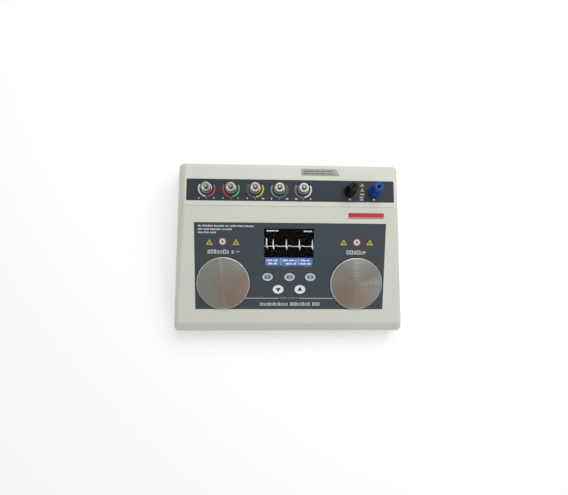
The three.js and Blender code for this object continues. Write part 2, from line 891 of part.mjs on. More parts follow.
function bindingStem() {
  const lockTop = -bindingBarrelLength - seatGap;
  const stem = toSolid(turned([
    [0, -bindingStemTail],
    [bindingStemRadius, -bindingStemTail],
    [bindingStemRadius, lockTop - 2],
    [bindingStemRadius + 2.5, lockTop - 2],
    [bindingStemRadius + 2.5, lockTop],
    [bindingStemRadius, lockTop],
    [bindingStemRadius, stemTop],
    [bindingSocketRadius, stemTop],
    [bindingSocketRadius, stemTop - bindingSocketDepth],
    [0, stemTop - bindingSocketDepth],
  ], 14));
  const crossHole = rod(bindingCrossHole, -bindingStemRadius - 1, bindingStemRadius + 1, 0, 0, 10);
  const height = washerLow + bindingCrossHole + 0.3;
  return stem.subtract(toSolid(crossHole.rotateX(Math.PI / 2).translate(0, 0, height)));
}

function bindingWasher() {
  const profile = ringProfile(
    bindingStemRadius + slipGap,
    bindingWasherRadius,
    washerLow,
    washerLow + bindingWasherHeight,
  );
  return turned(profile);
}

function bindingKnob() {
  const bore = bindingStemRadius + slipGap;
  return turned([
    [bore, knobLow],
    [bindingKnobRadius - 0.6, knobLow],
    [bindingKnobRadius, knobLow + 0.6],
    [bindingKnobRadius, knobLow + 4],
    [bindingKnobTopRadius + 0.3, knobLow + 9],
    [bindingKnobTopRadius, knobTop - 0.8],
    [bindingKnobTopRadius - 0.8, knobTop],
    [bindingMouthRadius, knobTop],
    [bindingMouthRadius, knobTop - bindingLip],
    [bore, knobTop - bindingLip],
    [bore, knobLow],
  ]);
}

for (const { name, x } of bindingPosts) {
  const plastic = name === "blue_post" ? bluePlastic : blackPlastic;
  addMesh(deck, `${name}_collar`, bindingCollar(), plastic).position.set(x, bindingRow, 0);
  addMesh(deck, `${name}_stem`, bindingStem(), brass).position.set(x, bindingRow, 0);
  addMesh(deck, `${name}_washer`, bindingWasher(), nickel).position.set(x, bindingRow, 0);
  addMesh(deck, `${name}_knob`, bindingKnob(), plastic).position.set(x, bindingRow, 0);
}

// The terminal board hangs from three bosses; every post passes through it.
function terminalBoard() {
  const top = -(wall + terminalBoardDrop);
  const sheet = block(terminalBoardWidth, terminalBoardDepth, boardThickness, 0, ecgRow, top - boardThickness);
  const cuts = [];
  for (let index = 0; index < ecgCount; index += 1) {
    cuts.push(rod(ecgShankRadius + slipGap, top - 4, top + 1, ecgX(index), ecgRow));
  }
  for (const { x } of bindingPosts) {
    cuts.push(rod(bindingStemRadius + slipGap, top - 4, top + 1, x, bindingRow));
  }
  return toSolid(sheet).subtract(joined(cuts));
}

addMesh(deck, "terminal_board", terminalBoard(), boardGreen);

// ---- rear panel ----

const rockerPivot = -1;
const rockerHalfWidth = (switchWidth - 2 * switchWall) / 2 - slipGap;
const cavityHalfHeight = switchHeight / 2 - switchWall - 0.4;
const rockerHalfHeight = cavityHalfHeight - 0.8;

function rearPanel() {
  const width = rearWindowWidth + 2 * rearPanelMargin;
  const height = rearWindowHeight + 2 * rearPanelMargin;
  const sheet = toSolid(block(width, height, rearPanelThickness, 0, 0, -rearPanelThickness));
  const cuts = [
    block(switchWidth + 2 * slipGap - 1, switchHeight + 2 * slipGap - 1, 6, switchX, 0, -4),
    block(usbWidth + 2 * slipGap - 1, usbHeight + 2 * slipGap - 1, 6, usbX, 0, -4),
  ];
  for (const { x, barrel } of [powerJack, scopeJack]) {
    cuts.push(rod(barrel + slipGap, -4, 2, x, 0, 20));
  }
  return sheet.subtract(joined(cuts));
}

addMesh(rear, "rear_panel", rearPanel(), blackPlastic);

function switchBody() {
  const flange = block(switchWidth, switchHeight, switchBezel, 0, 0, seatGap);
  const body = block(switchWidth - 1, switchHeight - 1, switchDepth, 0, 0, seatGap + 0.5 - switchDepth);
  const cavity = block(
    switchWidth - 2 * switchWall,
    2 * cavityHalfHeight,
    rockerThickness + 5,
    0,
    0,
    -rockerThickness - 2.5,
  );
  return joined([flange, body]).subtract(toSolid(cavity));
}

addMesh(rear, "switch_body", switchBody(), blackPlastic).position.x = switchX;

// The rocker's two faces meet in a shallow valley over its pivot.
function rocker() {
  const high = seatGap + switchBezel - rockerPivot;
  const endHigh = high + rockerHalfHeight * Math.tan(rockerTilt);
  const profile = polygon([
    [-rockerHalfHeight, endHigh - 0.6],
    [0, high],
    [rockerHalfHeight, endHigh - 0.6],
    [rockerHalfHeight - 0.6, -rockerThickness / 2],
    [1.5, -rockerThickness],
    [-1.5, -rockerThickness],
    [-rockerHalfHeight + 0.6, -rockerThickness / 2],
  ]);
  const geometry = prism(profile, -rockerHalfWidth, rockerHalfWidth);
  return geometry.rotateZ(Math.PI / 2).rotateY(Math.PI / 2);
}

const rockerMesh = addMesh(rear, "power_rocker", rocker(), blackPlastic);
rockerMesh.position.set(switchX, 0, rockerPivot);
rockerMesh.rotation.x = rockerTilt;

// A round jack with its flange outside the panel; a pin of zero is left out.
function roundJack({ flange, barrel, bore, pin, depth }) {
  const top = seatGap + jackFlangeHeight;
  const bottom = top - depth;
  const inside = pin > 0
    ? [[bore, bottom + 2], [pin, bottom + 2], [pin, top - 1], [0, top - 1]]
    : [[bore, bottom + 2], [0, bottom + 2]];
  return turned([
    [0, bottom],
    [barrel, bottom],
    [barrel, seatGap],
    [flange, seatGap],
    [flange, top - 0.3],
    [flange - 0.3, top],
    [bore, top],
    ...inside,
  ]);
}

addMesh(rear, "power_jack", roundJack(powerJack), blackPlastic).position.x = powerJack.x;
addMesh(rear, "scope_jack", roundJack(scopeJack), blackPlastic).position.x = scopeJack.x;

function usbPort() {
  const body = joined([
    block(usbWidth, usbHeight, 1, 0, 0, seatGap),
    block(usbWidth - 1, usbHeight - 1, usbDepth, 0, 0, 1 - usbDepth),
  ]);
  const mouth = block(usbOpening[0], usbOpening[1], usbDepth, 0, 0, 3 - usbDepth);
  const tongue = block(5.6, 3.2, 5, 0, 0, 2.5 - usbDepth);
  return body.subtract(toSolid(mouth)).add(toSolid(tongue));
}

addMesh(rear, "usb_port", usbPort(), zincSheet).position.x = usbX;

// ---- inside the case ----

// The main board with its regulator, converter, processor and connectors.
function mainBoard() {
  const top = mainBoardHeight + boardThickness;
  const sunk = top - 0.3;
  return joined([
    block(mainBoardWidth, mainBoardDepth, boardThickness, 0, mainBoardY, mainBoardHeight),
    block(22, 22, 2.3, -30, mainBoardY - 10, sunk),
    block(14, 10, 2.3, 12, mainBoardY - 24, sunk),
    block(30, 20, 12, 70, mainBoardY + 24, sunk),
    block(34, 6, 7, 0, mainBoardY + 20, sunk),
    rod(6, sunk, top + 16, -70, mainBoardY + 30, 16),
    rod(6, sunk, top + 16, -54, mainBoardY + 30, 16),
    block(16, 12, 9, -72, mainBoardY - 30, sunk),
  ]);
}

addMesh(analyser, "main_board", mainBoard(), boardGreen);

// The 50 ohm test load: a wire-wound tube with a raised terminal band at
// each end.
function loadResistor() {
  const half = resistorLength / 2;
  const band = resistorRadius + resistorBand;
  const profile = [
    [resistorBore, -half],
    [resistorRadius, -half],
    [resistorRadius, -half + 6],
    [band, -half + 6],
    [band, -half + 12],
    [resistorRadius, -half + 12],
    [resistorRadius, half - 12],
    [band, half - 12],
    [band, half - 6],
    [resistorRadius, half - 6],
    [resistorRadius, half],
    [resistorBore, half],
    [resistorBore, -half],
  ];
  return turned(profile, 20).rotateY(Math.PI / 2);
}

const resistorPlace = new THREE.Vector3(0, resistorY, resistorHeight);
addMesh(analyser, "load_resistor", loadResistor(), ceramic).position.copy(resistorPlace);

// A bent bracket: foot, upright and the spigot that holds the tube's end.
function resistorBracket(side) {
  const upright = (side * resistorLength) / 2 + side * (seatGap + bracketThickness / 2);
  const low = floorZ + 0.1 - resistorHeight;
  const spigotMiddle = (side * resistorLength) / 2 + (side * (seatGap + 1 - spigotLength)) / 2;
  const spigot = rod(
    resistorBore - slipGap,
    -(spigotLength + seatGap + 1) / 2,
    (spigotLength + seatGap + 1) / 2,
  );
  return joined([
    block(bracketThickness, bracketWidth, resistorRadius - low, upright, 0, low),
    block(bracketFoot, bracketWidth, bracketThickness, upright + (side * bracketFoot) / 2, 0, low),
    spigot.rotateY(Math.PI / 2).translate(spigotMiddle, 0, 0),
  ]);
}

for (const { name, side } of [{ name: "left", side: -1 }, { name: "right", side: 1 }]) {
  const bracket = addMesh(analyser, `resistor_bracket_${name}`, resistorBracket(side), zincSheet);
  bracket.position.copy(resistorPlace);
}

function batteryPack() {
  const outline = roundedRectangle(batteryDepth, batteryHeight, 6);
  const pack = prism(outline, -batteryWidth / 2, batteryWidth / 2, 5);
  return pack.rotateX(Math.PI / 2).rotateZ(Math.PI / 2);
}

const batteryLow = floorZ + 0.1;
addMesh(analyser, "battery_pack", batteryPack(), batteryWrap)
  .position.set(0, batteryY, batteryLow + batteryHeight / 2);

// Each plate's lead runs from the end of its stud down and forward to the
// rear of the load's terminal band.
function plateLead(side) {
  const studEnd = new THREE.Vector3(side * plateX, plateV, -plateStudLength - seatGap);
  const below = studEnd.clone().add(new THREE.Vector3(0, 0, -leadBend));
  const bandRear = resistorY + resistorRadius + resistorBand + seatGap;
  const end = new THREE.Vector3(side * (resistorLength / 2 - 9), bandRear, resistorHeight);
  const behind = end.clone().add(new THREE.Vector3(0, leadBend, 0));
  const curve = new THREE.CubicBezierCurve3(
    studEnd.applyMatrix4(face.matrix),
    below.applyMatrix4(face.matrix),
    behind,
    end,
  );
  const section = new THREE.Shape();
  section.absarc(0, 0, leadRadius, 0, Math.PI * 2);
  return new THREE.ExtrudeGeometry(section, { steps: 12, extrudePath: curve, curveSegments: 4 });
}

addMesh(analyser, "sternum_lead", plateLead(-1), redLead);
addMesh(analyser, "apex_lead", plateLead(1), redLead);

// A flat cable from the back of the display down to the main board.
function displayRibbon() {
  const back = -wall - seatGap - moduleThickness - seatGap;
  const start = new THREE.Vector3(0, windowV, back).applyMatrix4(face.matrix);
  const low = mainBoardHeight + boardThickness + 7 + 0.2;
  const end = new THREE.Vector3(0, mainBoardY + 20, low);
  const half = ribbonThickness / 2;
  const shape = new THREE.Shape();
  const middle = (start.z + end.z) / 2;
  shape.moveTo(start.y - half, start.z);
  shape.bezierCurveTo(start.y - half, middle - 6, end.y - half, middle + 6, end.y - half, end.z);
  shape.lineTo(end.y + half, end.z);
  shape.bezierCurveTo(end.y + half, middle + 6, start.y + half, middle - 6, start.y + half, start.z);
  const cable = prism(shape, windowU - ribbonWidth / 2, windowU + ribbonWidth / 2, 8);
  return cable.rotateY(Math.PI / 2).rotateX(Math.PI / 2);
}

addMesh(analyser, "display_ribbon", displayRibbon(), ribbonGrey);

export default analyser;
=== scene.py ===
import json
import math
import random

import bmesh
import bpy
from mathutils import Matrix, Vector


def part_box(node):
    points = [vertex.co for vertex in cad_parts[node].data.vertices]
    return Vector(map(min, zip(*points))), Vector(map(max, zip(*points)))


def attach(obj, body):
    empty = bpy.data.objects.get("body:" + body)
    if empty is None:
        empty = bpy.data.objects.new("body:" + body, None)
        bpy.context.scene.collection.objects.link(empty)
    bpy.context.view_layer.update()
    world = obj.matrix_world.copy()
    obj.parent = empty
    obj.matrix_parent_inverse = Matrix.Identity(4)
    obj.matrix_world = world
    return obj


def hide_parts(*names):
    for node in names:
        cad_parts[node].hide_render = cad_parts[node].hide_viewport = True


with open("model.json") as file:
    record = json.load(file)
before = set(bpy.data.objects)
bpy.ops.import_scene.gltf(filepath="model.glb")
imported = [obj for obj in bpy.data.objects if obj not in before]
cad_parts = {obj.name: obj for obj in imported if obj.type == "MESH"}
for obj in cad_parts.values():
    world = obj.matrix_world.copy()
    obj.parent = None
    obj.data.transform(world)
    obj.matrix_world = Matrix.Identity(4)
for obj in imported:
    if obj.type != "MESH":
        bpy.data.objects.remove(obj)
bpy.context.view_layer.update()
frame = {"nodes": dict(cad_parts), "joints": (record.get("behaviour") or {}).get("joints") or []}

# A defibrillator analyser. Pieces are modelled in millimetres in four local
# frames (whole case, sloping face, level deck, rear panel) and placed in metres.

mm = 0.001
random.seed(7)
scene = bpy.context.scene


def boxOf(node):
    low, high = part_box(node)
    return Vector(low) / mm, Vector(high) / mm


def middleOf(node):
    low, high = boxOf(node)
    return (low + high) / 2


# The keys are pressed straight into the sloping face, so their axis gives its tilt.
pressAxis = next(Vector(joint["axis"]) for joint in frame["joints"] if joint["name"] == "key_f1_press")
faceTilt = math.atan2(pressAxis.y, -pressAxis.z)
faceNormal = -pressAxis
rearLean = math.radians(18.7)
rearNormal = Vector((0, math.cos(rearLean), math.sin(rearLean)))

stripFrontMargin = 7.2   # from the crease to the terminal film
filmThickness = 0.6
panelThickness = 2

upperLow, upperHigh = boxOf("upper_shell")
lowerLow = boxOf("lower_shell")[0]
stripLow, stripHigh = boxOf("terminal_overlay")
creaseY = stripLow.y - stripFrontMargin
deckHeight = upperHigh.z


def localFrame(origin, tilt=0.0):
    return Matrix.Scale(mm, 4) @ Matrix.Translation(origin) @ Matrix.Rotation(tilt, 4, "X")


onCase = Matrix.Scale(mm, 4)
onFace = localFrame(middleOf("main_overlay") + faceNormal * filmThickness / 2, faceTilt)
onDeck = localFrame(Vector((0, creaseY, deckHeight)))
onRear = localFrame(middleOf("rear_panel") + rearNormal * panelThickness / 2, rearLean - math.pi / 2)


def mathsOf(operation, reflected=False):
    if reflected:
        return lambda wire, other: wire.maths(operation, other, wire)
    return lambda wire, other: wire.maths(operation, wire, other)


class Wire:
    # a shader socket that takes Python's operators, from either side
    def __init__(self, tree, socket):
        self.tree = tree
        self.socket = socket

    def maths(self, operation, *values):
        made = self.tree.nodes.new("ShaderNodeMath")
        made.operation = operation
        for place, value in zip(made.inputs, values):
            if isinstance(value, Wire):
                self.tree.links.new(value.socket, place)
            else:
                place.default_value = value
        return Wire(self.tree, made.outputs[0])

    __add__, __radd__ = mathsOf("ADD"), mathsOf("ADD", True)
    __sub__, __rsub__ = mathsOf("SUBTRACT"), mathsOf("SUBTRACT", True)
    __mul__, __rmul__ = mathsOf("MULTIPLY"), mathsOf("MULTIPLY", True)
    __truediv__, __rtruediv__ = mathsOf("DIVIDE"), mathsOf("DIVIDE", True)
    __pow__, __rpow__ = mathsOf("POWER"), mathsOf("POWER", True)

    def atLeast(self, limit):
        return self.maths("MAXIMUM", self, limit)

    def atMost(self, limit):
        return self.maths("MINIMUM", self, limit)

    def wholePart(self):
        return self.maths("FLOOR", self)

    def wrapped(self, turn):
        return self.maths("FLOORED_MODULO", self, turn)


finishes = {}


class Finish:
    def __init__(self, name, colour, roughness, metallic=0.0, fixed=None):
        self.material = finishes[name] = bpy.data.materials.new(name)
        self.material.use_nodes = True
        self.tree = self.material.node_tree
        self.shader = self.tree.nodes["Principled BSDF"]
        self.colour = colour
        sockets = {"Base Color": (*colour, 1), "Roughness": roughness, "Metallic": metallic}
        for socket, value in {**sockets, **(fixed or {})}.items():
            self.shader.inputs[socket].default_value = value

    def node(self, kind, settings=None, sockets=None, output=0):
        made = self.tree.nodes.new("ShaderNode" + kind)
        for name, value in (settings or {}).items():
            setattr(made, name, value)
        for place, value in (sockets or {}).items():
            if isinstance(value, Wire):
                self.tree.links.new(value.socket, made.inputs[place])
            else:
                made.inputs[place].default_value = value
        return Wire(self.tree, made.outputs[output])

    def point(self):
        return self.node("TexCoord", output=3)

    def centred(self, centre, turn=0.0):
        # the point measured from a piece's middle, in metres, turned back to lie flat
        back = self.node("VectorMath", {"operation": "SUBTRACT"}, {0: self.point(), 1: centre})
        settings = {"rotation_type": "X_AXIS", "invert": True}
        return self.node("VectorRotate", settings, {"Vector": back, "Angle": turn})

    def noise(self, scale, detail=3.0, roughness=0.5, point=None):
        sockets = {"Vector": point or self.point(), "Scale": scale, "Detail": detail, "Roughness": roughness}
        return self.node("TexNoise", {"normalize": True}, sockets)

    def blend(self, amount, first, second):
        sockets = {0: amount, 6: first, 7: second}
        return self.node("Mix", {"data_type": "RGBA"}, sockets, output=2)

    def feed(self, socket, wire):
        self.tree.links.new(wire.socket, self.shader.inputs[socket])

    def mottle(self, scale, spread):
        # slightly darker and lighter patches of the finish's own colour
        dark = tuple(max(part * (1 - spread), 0) for part in self.colour)
        light = tuple(min(part * (1 + spread), 1) for part in self.colour)
        amount = self.noise(scale, 4.0, 0.6)
        self.feed("Base Color", self.blend(amount, (*dark, 1), (*light, 1)))

    def grain(self, scale, depth, strength=0.5, detail=2.0):
        # a moulded or blasted texture, its depth in millimetres
        height = self.noise(scale, detail, 0.55)
        sockets = {"Strength": strength, "Distance": depth * mm, "Height": height}
        self.feed("Normal", self.node("Bump", None, sockets))

    def patchyGloss(self, scale, low, high):
        self.feed("Roughness", self.noise(scale, 4.0, 0.65) * (high - low) + low)


def linear(level):
    part = level / 255
    return part / 12.92 if part <= 0.04045 else ((part + 0.055) / 1.055) ** 2.4


def paint(red, green, blue):
    return (linear(red), linear(green), linear(blue))


steelSpec = {
    # the face's tone is darker than bare steel, a painted dark reflection
    "tone": paint(121, 122, 116),
    "warmTone": paint(127, 101, 88),
    "ringPitch": 0.00016,
    "ringLean": 0.42,      # how far a ring's flank tips the normal
    "inward": 0.3,         # the share of the flanks that face inwards
    "broadScale": 420,
    "broadLean": 0.25,
    "roughness": (0.33, 0.43),
}
# the sweeps are painted highlights, bright streaks of reflection painted into the colour: bearing, half width
# (both in degrees) and strength; the warm patch is in metres
plateSpec = {
    "sternum": {
        "highlightSweeps": [(96, 3.2, 0.30), (120, 30, 0.08), (273, 4, 0.14)],
        "warm": (0.019, -0.013),
        "reach": 0.028,
    },
    "apex": {
        "highlightSweeps": [(92, 7, 0.16), (8, 8, 0.22), (165, 14, 0.07), (268, 9, 0.08)],
        "warm": (-0.012, -0.02),
        "reach": 0.03,
    },
}


def plastic(name, colour, roughness, spread=0.02, grain=(1500, 0.02, 0.4), fixed=None):
    made = Finish(name, colour, roughness, 0.0, fixed)
    made.mottle(35, spread)
    made.grain(*grain)
    made.patchyGloss(60, roughness * 0.9, roughness * 1.1)


def ink(name, colour, roughness=0.45):
    made = Finish(name, colour, roughness)
    made.mottle(900, 0.06)
    made.grain(2600, 0.008, 0.3)


def metal(name, colour, roughness, grain):
    made = Finish(name, colour, roughness, 1.0)
    made.mottle(220, 0.05)
    made.grain(*grain)
    made.patchyGloss(400, roughness * 0.8, roughness * 1.25)


def bell(distance, reach):
    # 1 in the middle, falling away smoothly over the reach
    part = distance / reach
    return math.e ** (part * part * -1.0)


def turnedSteel(name, centre, turn, spec):
    # Facing cuts leave fine rings. Each ring's flank leans the normal along the radius.
    made = Finish(name, steelSpec["tone"], steelSpec["roughness"][0], 1.0)
    flatPoint = made.node("SeparateXYZ", None, {0: made.centred(centre, turn)})
    across, along = [Wire(made.tree, output) for output in flatPoint.socket.node.outputs[:2]]
    radius = (across * across + along * along) ** 0.5
    ring = (radius / steelSpec["ringPitch"]).wholePart()
    scatter = made.node("TexWhiteNoise", {"noise_dimensions": "1D"}, {"W": ring})
    ringPoint = made.node("CombineXYZ", None, {0: radius, 1: 0.0, 2: 0.0})
    broad = made.noise(steelSpec["broadScale"], 2.0, 0.6, ringPoint)
    lean = (scatter - steelSpec["inward"]) * steelSpec["ringLean"] + (broad - 0.5) * steelSpec["broadLean"]
    flat = made.node("CombineXYZ", None, {0: across, 1: along, 2: 0.0})
    outward = made.node("VectorMath", {"operation": "NORMALIZE"}, {0: flat})
    settings = {"rotation_type": "X_AXIS", "invert": False}
    tilted = made.node("VectorRotate", settings, {"Vector": outward, "Angle": turn})
    push = made.node("VectorMath", {"operation": "SCALE"}, {0: tilted, 3: lean})
    upright = made.node("NewGeometry", output=1)
    leaning = made.node("VectorMath", {"operation": "ADD"}, {0: upright, 1: push})
    made.feed("Normal", made.node("VectorMath", {"operation": "NORMALIZE"}, {0: leaning}))
    # the metal is warmer in one patch, and painted highlights, bright streaks of reflection, are added to its
    # colour along a few bearings
    offX, offY = across - spec["warm"][0], along - spec["warm"][1]
    away = (offX * offX + offY * offY) ** 0.5
    patch = bell(away, spec["reach"]) * 0.75 + (made.noise(45, 3.0, 0.6) - 0.5) * 0.9
    tone = made.blend(patch.atLeast(0.0).atMost(1.0), (*steelSpec["tone"], 1), (*steelSpec["warmTone"], 1))
    bearing = made.node("Math", {"operation": "ARCTAN2"}, {0: along, 1: across}) * math.degrees(1)
    # the ring tone plus the painted highlights, one bright streak of reflection for each bearing
    toneAndHighlight = broad * 0.2 + 0.86
    for angle, width, strength in spec["highlightSweeps"]:
        turned = (bearing - angle + 540.0).wrapped(360.0) - 180.0
        toneAndHighlight = toneAndHighlight + bell(turned, width) * strength
    level = made.node("CombineXYZ", None, {0: toneAndHighlight, 1: toneAndHighlight, 2: toneAndHighlight})
    settings = {"data_type": "RGBA", "blend_type": "MULTIPLY"}
    made.feed("Base Color", made.node("Mix", settings, {0: 1.0, 6: tone, 7: level}, 2))
    low, high = steelSpec["roughness"]
    made.feed("Roughness", made.noise(90, 3.0, 0.6) * (high - low) + low)


def glow(name, colour, strength):
    fixed = {"Emission Color": (*colour, 1), "Emission Strength": strength, "Specular IOR Level": 0.0}
    made = Finish(name, (0, 0, 0), 0.6, 0.0, fixed)
    pattern = made.noise(2500, 1.0)
    dim = tuple(part * 0.9 for part in colour)
    made.feed("Emission Color", made.blend(pattern, (*dim, 1), (*colour, 1)))


print("finishes")
plastic("casePlastic", paint(214, 215, 203), 0.5, 0.02, (1400, 0.03, 0.5))
plastic("slateFilm", paint(52, 61, 68), 0.45, 0.06, (2400, 0.012, 0.5), {"Specular IOR Level": 0.35})
plastic("stripFilm", paint(43, 53, 61), 0.5, 0.06, (2400, 0.012, 0.5), {"Specular IOR Level": 0.2})
plastic("keyGrey", paint(196, 203, 208), 0.4, 0.03)
plastic("keyWhite", paint(233, 236, 238), 0.4, 0.02)
plastic("blackPlastic", paint(9, 11, 14), 0.34, 0.1, (900, 0.02, 0.3), {"Specular IOR Level": 0.12})
plastic("bluePlastic", paint(8, 72, 158), 0.28, 0.08, (900, 0.02, 0.3), {"Specular IOR Level": 0.15})
plastic("legendGrey", paint(152, 157, 153), 0.4, 0.03, (2200, 0.02, 0.5))
plastic("nylon", paint(230, 226, 212), 0.5)
plastic("boardGreen", paint(30, 88, 56), 0.35, 0.1, (700, 0.05, 0.4))
plastic("ceramic", paint(92, 106, 82), 0.6, 0.12, (420, 0.15, 0.6))
plastic("batteryWrap", paint(40, 78, 134), 0.25, 0.05, (160, 0.3, 0.4))
plastic("rubber", paint(34, 34, 35), 0.8, 0.15, (1100, 0.05, 0.7))
plastic("leadRed", paint(166, 34, 34), 0.5, 0.06)
plastic("ribbonGrey", paint(182, 184, 187), 0.5, 0.04)
plastic("displayGlass", paint(12, 12, 12), 0.2, 0.2, (300, 0.01, 0.2))
metal("nickel", paint(146, 142, 135), 0.28, (900, 0.04, 0.5))
# a lighter copy of the plate steel for the chamfer and the edge, a painted highlight
metal("rimSteelHighlight", paint(200, 200, 196), 0.26, (700, 0.02, 0.3))
metal("brass", paint(112, 92, 56), 0.34, (900, 0.03, 0.4))
metal("zincSheet", paint(186, 190, 193), 0.34, (500, 0.03, 0.4))
ink("inkWhite", paint(206, 212, 214))
ink("inkGrey", paint(100, 112, 122))
ink("inkDark", paint(12, 12, 13))
ink("inkYellow", paint(196, 180, 52))
ink("inkRed", paint(182, 46, 58))
ink("inkBrown", paint(96, 74, 64))
ink("inkGreen", paint(84, 156, 120))
ink("inkOlive", paint(120, 126, 84))
glow("pictureBlack", (0.0012, 0.0011, 0.001), 1.0)
glow("pictureWhite", paint(222, 224, 222), 1.15)
glow("pictureBlue", paint(84, 120, 186), 1.0)
acrylic = Finish("acrylic", (1, 1, 1), 0.03, 0.0, {"Transmission Weight": 1.0, "IOR": 1.12})
acrylic.patchyGloss(50, 0.02, 0.05)
for side in ("sternum", "apex"):
    turnedSteel(f"steel_{side}", middleOf(f"{side}_plate") * mm, faceTilt, plateSpec[side])


def slid(x, y, z=0.0):
    return Matrix.Translation((x, y, z))


def bevelForm(form, parts, radius, segments, affect):
    settings = {"offset_type": "OFFSET", "clamp_overlap": True, "profile": 0.5, "material": -1}
    bmesh.ops.bevel(form, geom=parts, offset=radius, segments=segments, affect=affect, **settings)


def soften(form, points, radius, segments=3):
    bevelForm(form, points, radius, segments, "VERTICES")


def roundEdges(form, edges, radius, segments=3):
    bevelForm(form, edges, radius, segments, "EDGES")


def faceOutwards(form):
    bmesh.ops.remove_doubles(form, verts=form.verts[:], dist=0.0005)
    bmesh.ops.recalc_face_normals(form, faces=form.faces[:])
    return form


def turnedForm(profile, steps=64, radius=0.0, segments=3):
    # a profile of radius and height turned about Z; a closed profile makes a ring
    form = bmesh.new()
    closed = profile[0] == profile[-1]
    spots = profile[:-1] if closed else profile
    points = [form.verts.new((across, 0, height)) for across, height in spots]
    for first, second in zip(points, points[1:] + points[:1] if closed else points[1:]):
        form.edges.new((first, second))
    if radius > 0:
        soften(form, points if closed else points[1:-1], radius, segments)
    sweep = {"axis": (0, 0, 1), "cent": (0, 0, 0), "angle": 2 * math.pi}
    bmesh.ops.spin(form, geom=form.verts[:] + form.edges[:], steps=steps, use_merge=True, **sweep)
    return faceOutwards(form)


def raised(form, height):
    # a flat outline pushed up into a solid
    grown = bmesh.ops.extrude_face_region(form, geom=form.faces[:], use_keep_orig=True)
    tops = [part for part in grown["geom"] if isinstance(part, bmesh.types.BMVert)]
    bmesh.ops.translate(form, verts=tops, vec=(0, 0, height))
    return faceOutwards(form)


def topRim(form, height):
    return [edge for edge in form.edges
            if all(abs(point.co.z - height) < 1e-4 for point in edge.verts)]


def outlineForm(width, depth, height, corner, centre):
    form = bmesh.new()
    spread = Matrix.Translation((*centre, height)) @ Matrix.Diagonal((width, depth, 1, 1))
    bmesh.ops.create_grid(form, x_segments=1, y_segments=1, size=0.5, matrix=spread)
    if corner > 0:
        soften(form, form.verts[:], corner, 5)
    return form


def slabForm(width, depth, low, high, corner=0.0, edge=0.0, centre=(0, 0)):
    form = outlineForm(width, depth, low, corner, centre)
    raised(form, high - low)
    if edge > 0:
        roundEdges(form, topRim(form, high), edge)
    return form


def discForm(corners, radius, low, high, spread=(1, 1), turn=0.0, soft=0.0, edge=0.0):
    form = bmesh.new()
    lay = slid(0, 0, low) @ Matrix.Diagonal((*spread, 1, 1)) @ Matrix.Rotation(turn, 4, "Z")
    bmesh.ops.create_circle(form, cap_ends=True, segments=corners, radius=radius, matrix=lay)
    if soft > 0:
        soften(form, form.verts[:], soft)
    raised(form, high - low)
    if edge > 0:
        roundEdges(form, topRim(form, high), edge)
    return form


def rodForm(radius, low, high, steps=32):
    return discForm(steps, radius, low, high)


def ringForm(inner, outer, low, high, steps=64, edge=0.0, segments=2):
    profile = [(inner, low), (outer, low), (outer, high), (inner, high), (inner, low)]
    return turnedForm(profile, steps, edge, segments)


def arcForm(inner, outer, low, high, start, end, steps=20):
    form = bmesh.new()
    turn = Matrix.Rotation(math.radians(start), 4, "Z")
    spots = [(inner, low), (outer, low), (outer, high), (inner, high)]
    form.faces.new([form.verts.new(turn @ Vector((across, 0, height))) for across, height in spots])
    sweep = {"axis": (0, 0, 1), "cent": (0, 0, 0), "angle": math.radians(end - start)}
    bmesh.ops.spin(form, geom=form.verts[:] + form.edges[:] + form.faces[:], steps=steps, **sweep)
    return faceOutwards(form)


def blockInto(form, size, centre):
    lay = Matrix.Translation(centre) @ Matrix.Diagonal((*size, 1))
    return bmesh.ops.create_cube(form, size=1, matrix=lay)["verts"]


def meshFrom(form, name, place):
    bmesh.ops.transform(form, matrix=place, verts=form.verts[:])
    mesh = bpy.data.meshes.new(name)
    form.to_mesh(mesh)
    form.free()
    return mesh


def joinInto(target, form, place=Matrix()):
    # one bmesh poured into another
    carrier = meshFrom(form, "carrier", place)
    target.from_mesh(carrier)
    bpy.data.meshes.remove(carrier)
    return target


def letterInto(form, left, base, width, tall, low, high):
    # a small block stands for a letter, and an open frame for a tall one
    middle, depth = (low + high) / 2, high - low
    if tall < 3.4:
        blockInto(form, (width, tall, depth), (left + width / 2, base + tall / 2, middle))
        return
    stroke = tall * 0.17
    for x in (left + stroke / 2, left + width - stroke / 2):
        blockInto(form, (stroke, tall, depth), (x, base + tall / 2, middle))
    for y in (base + stroke / 2, base + tall - stroke / 2):
        blockInto(form, (width - 2 * stroke, stroke, depth), (left + width / 2, y, middle))


def words(form, left, base, length, height, low=0.01, high=0.04, wordRange=(3, 8)):
    # a row of blank letter blocks in word groups, standing in for a line of print
    place = left
    count = random.randint(*wordRange)
    while place < left + length:
        width = height * random.uniform(0.45, 0.75)
        tall = height * random.choice((1, 1, 0.78, 0.78, 0.9))
        if count > 0:
            letterInto(form, place, base, width, tall, low, high)
            count -= 1
            place += width + height * 0.22
        else:
            count = random.randint(*wordRange)
            place += height * 0.55
    return form


def numeralForm(text, size, low, high):
    curve = bpy.data.curves.new("numeral", "FONT")
    curve.body = text
    curve.size = size
    curve.align_x = "CENTER"
    curve.align_y = "CENTER"
    curve.extrude = (high - low) / 2
    holder = bpy.data.objects.new("numeral", curve)
    scene.collection.objects.link(holder)
    mesh = bpy.data.meshes.new_from_object(holder.evaluated_get(bpy.context.evaluated_depsgraph_get()))
    form = bmesh.new()
    form.from_mesh(mesh)
    bmesh.ops.translate(form, verts=form.verts[:], vec=(0, 0, (low + high) / 2))
    bpy.data.objects.remove(holder)
    bpy.data.curves.remove(curve)
    bpy.data.meshes.remove(mesh)
    return faceOutwards(form)


def smoothUnder(mesh, angle=35):
    mesh.shade_smooth()
    mesh.set_sharp_from_angle(angle=math.radians(angle))


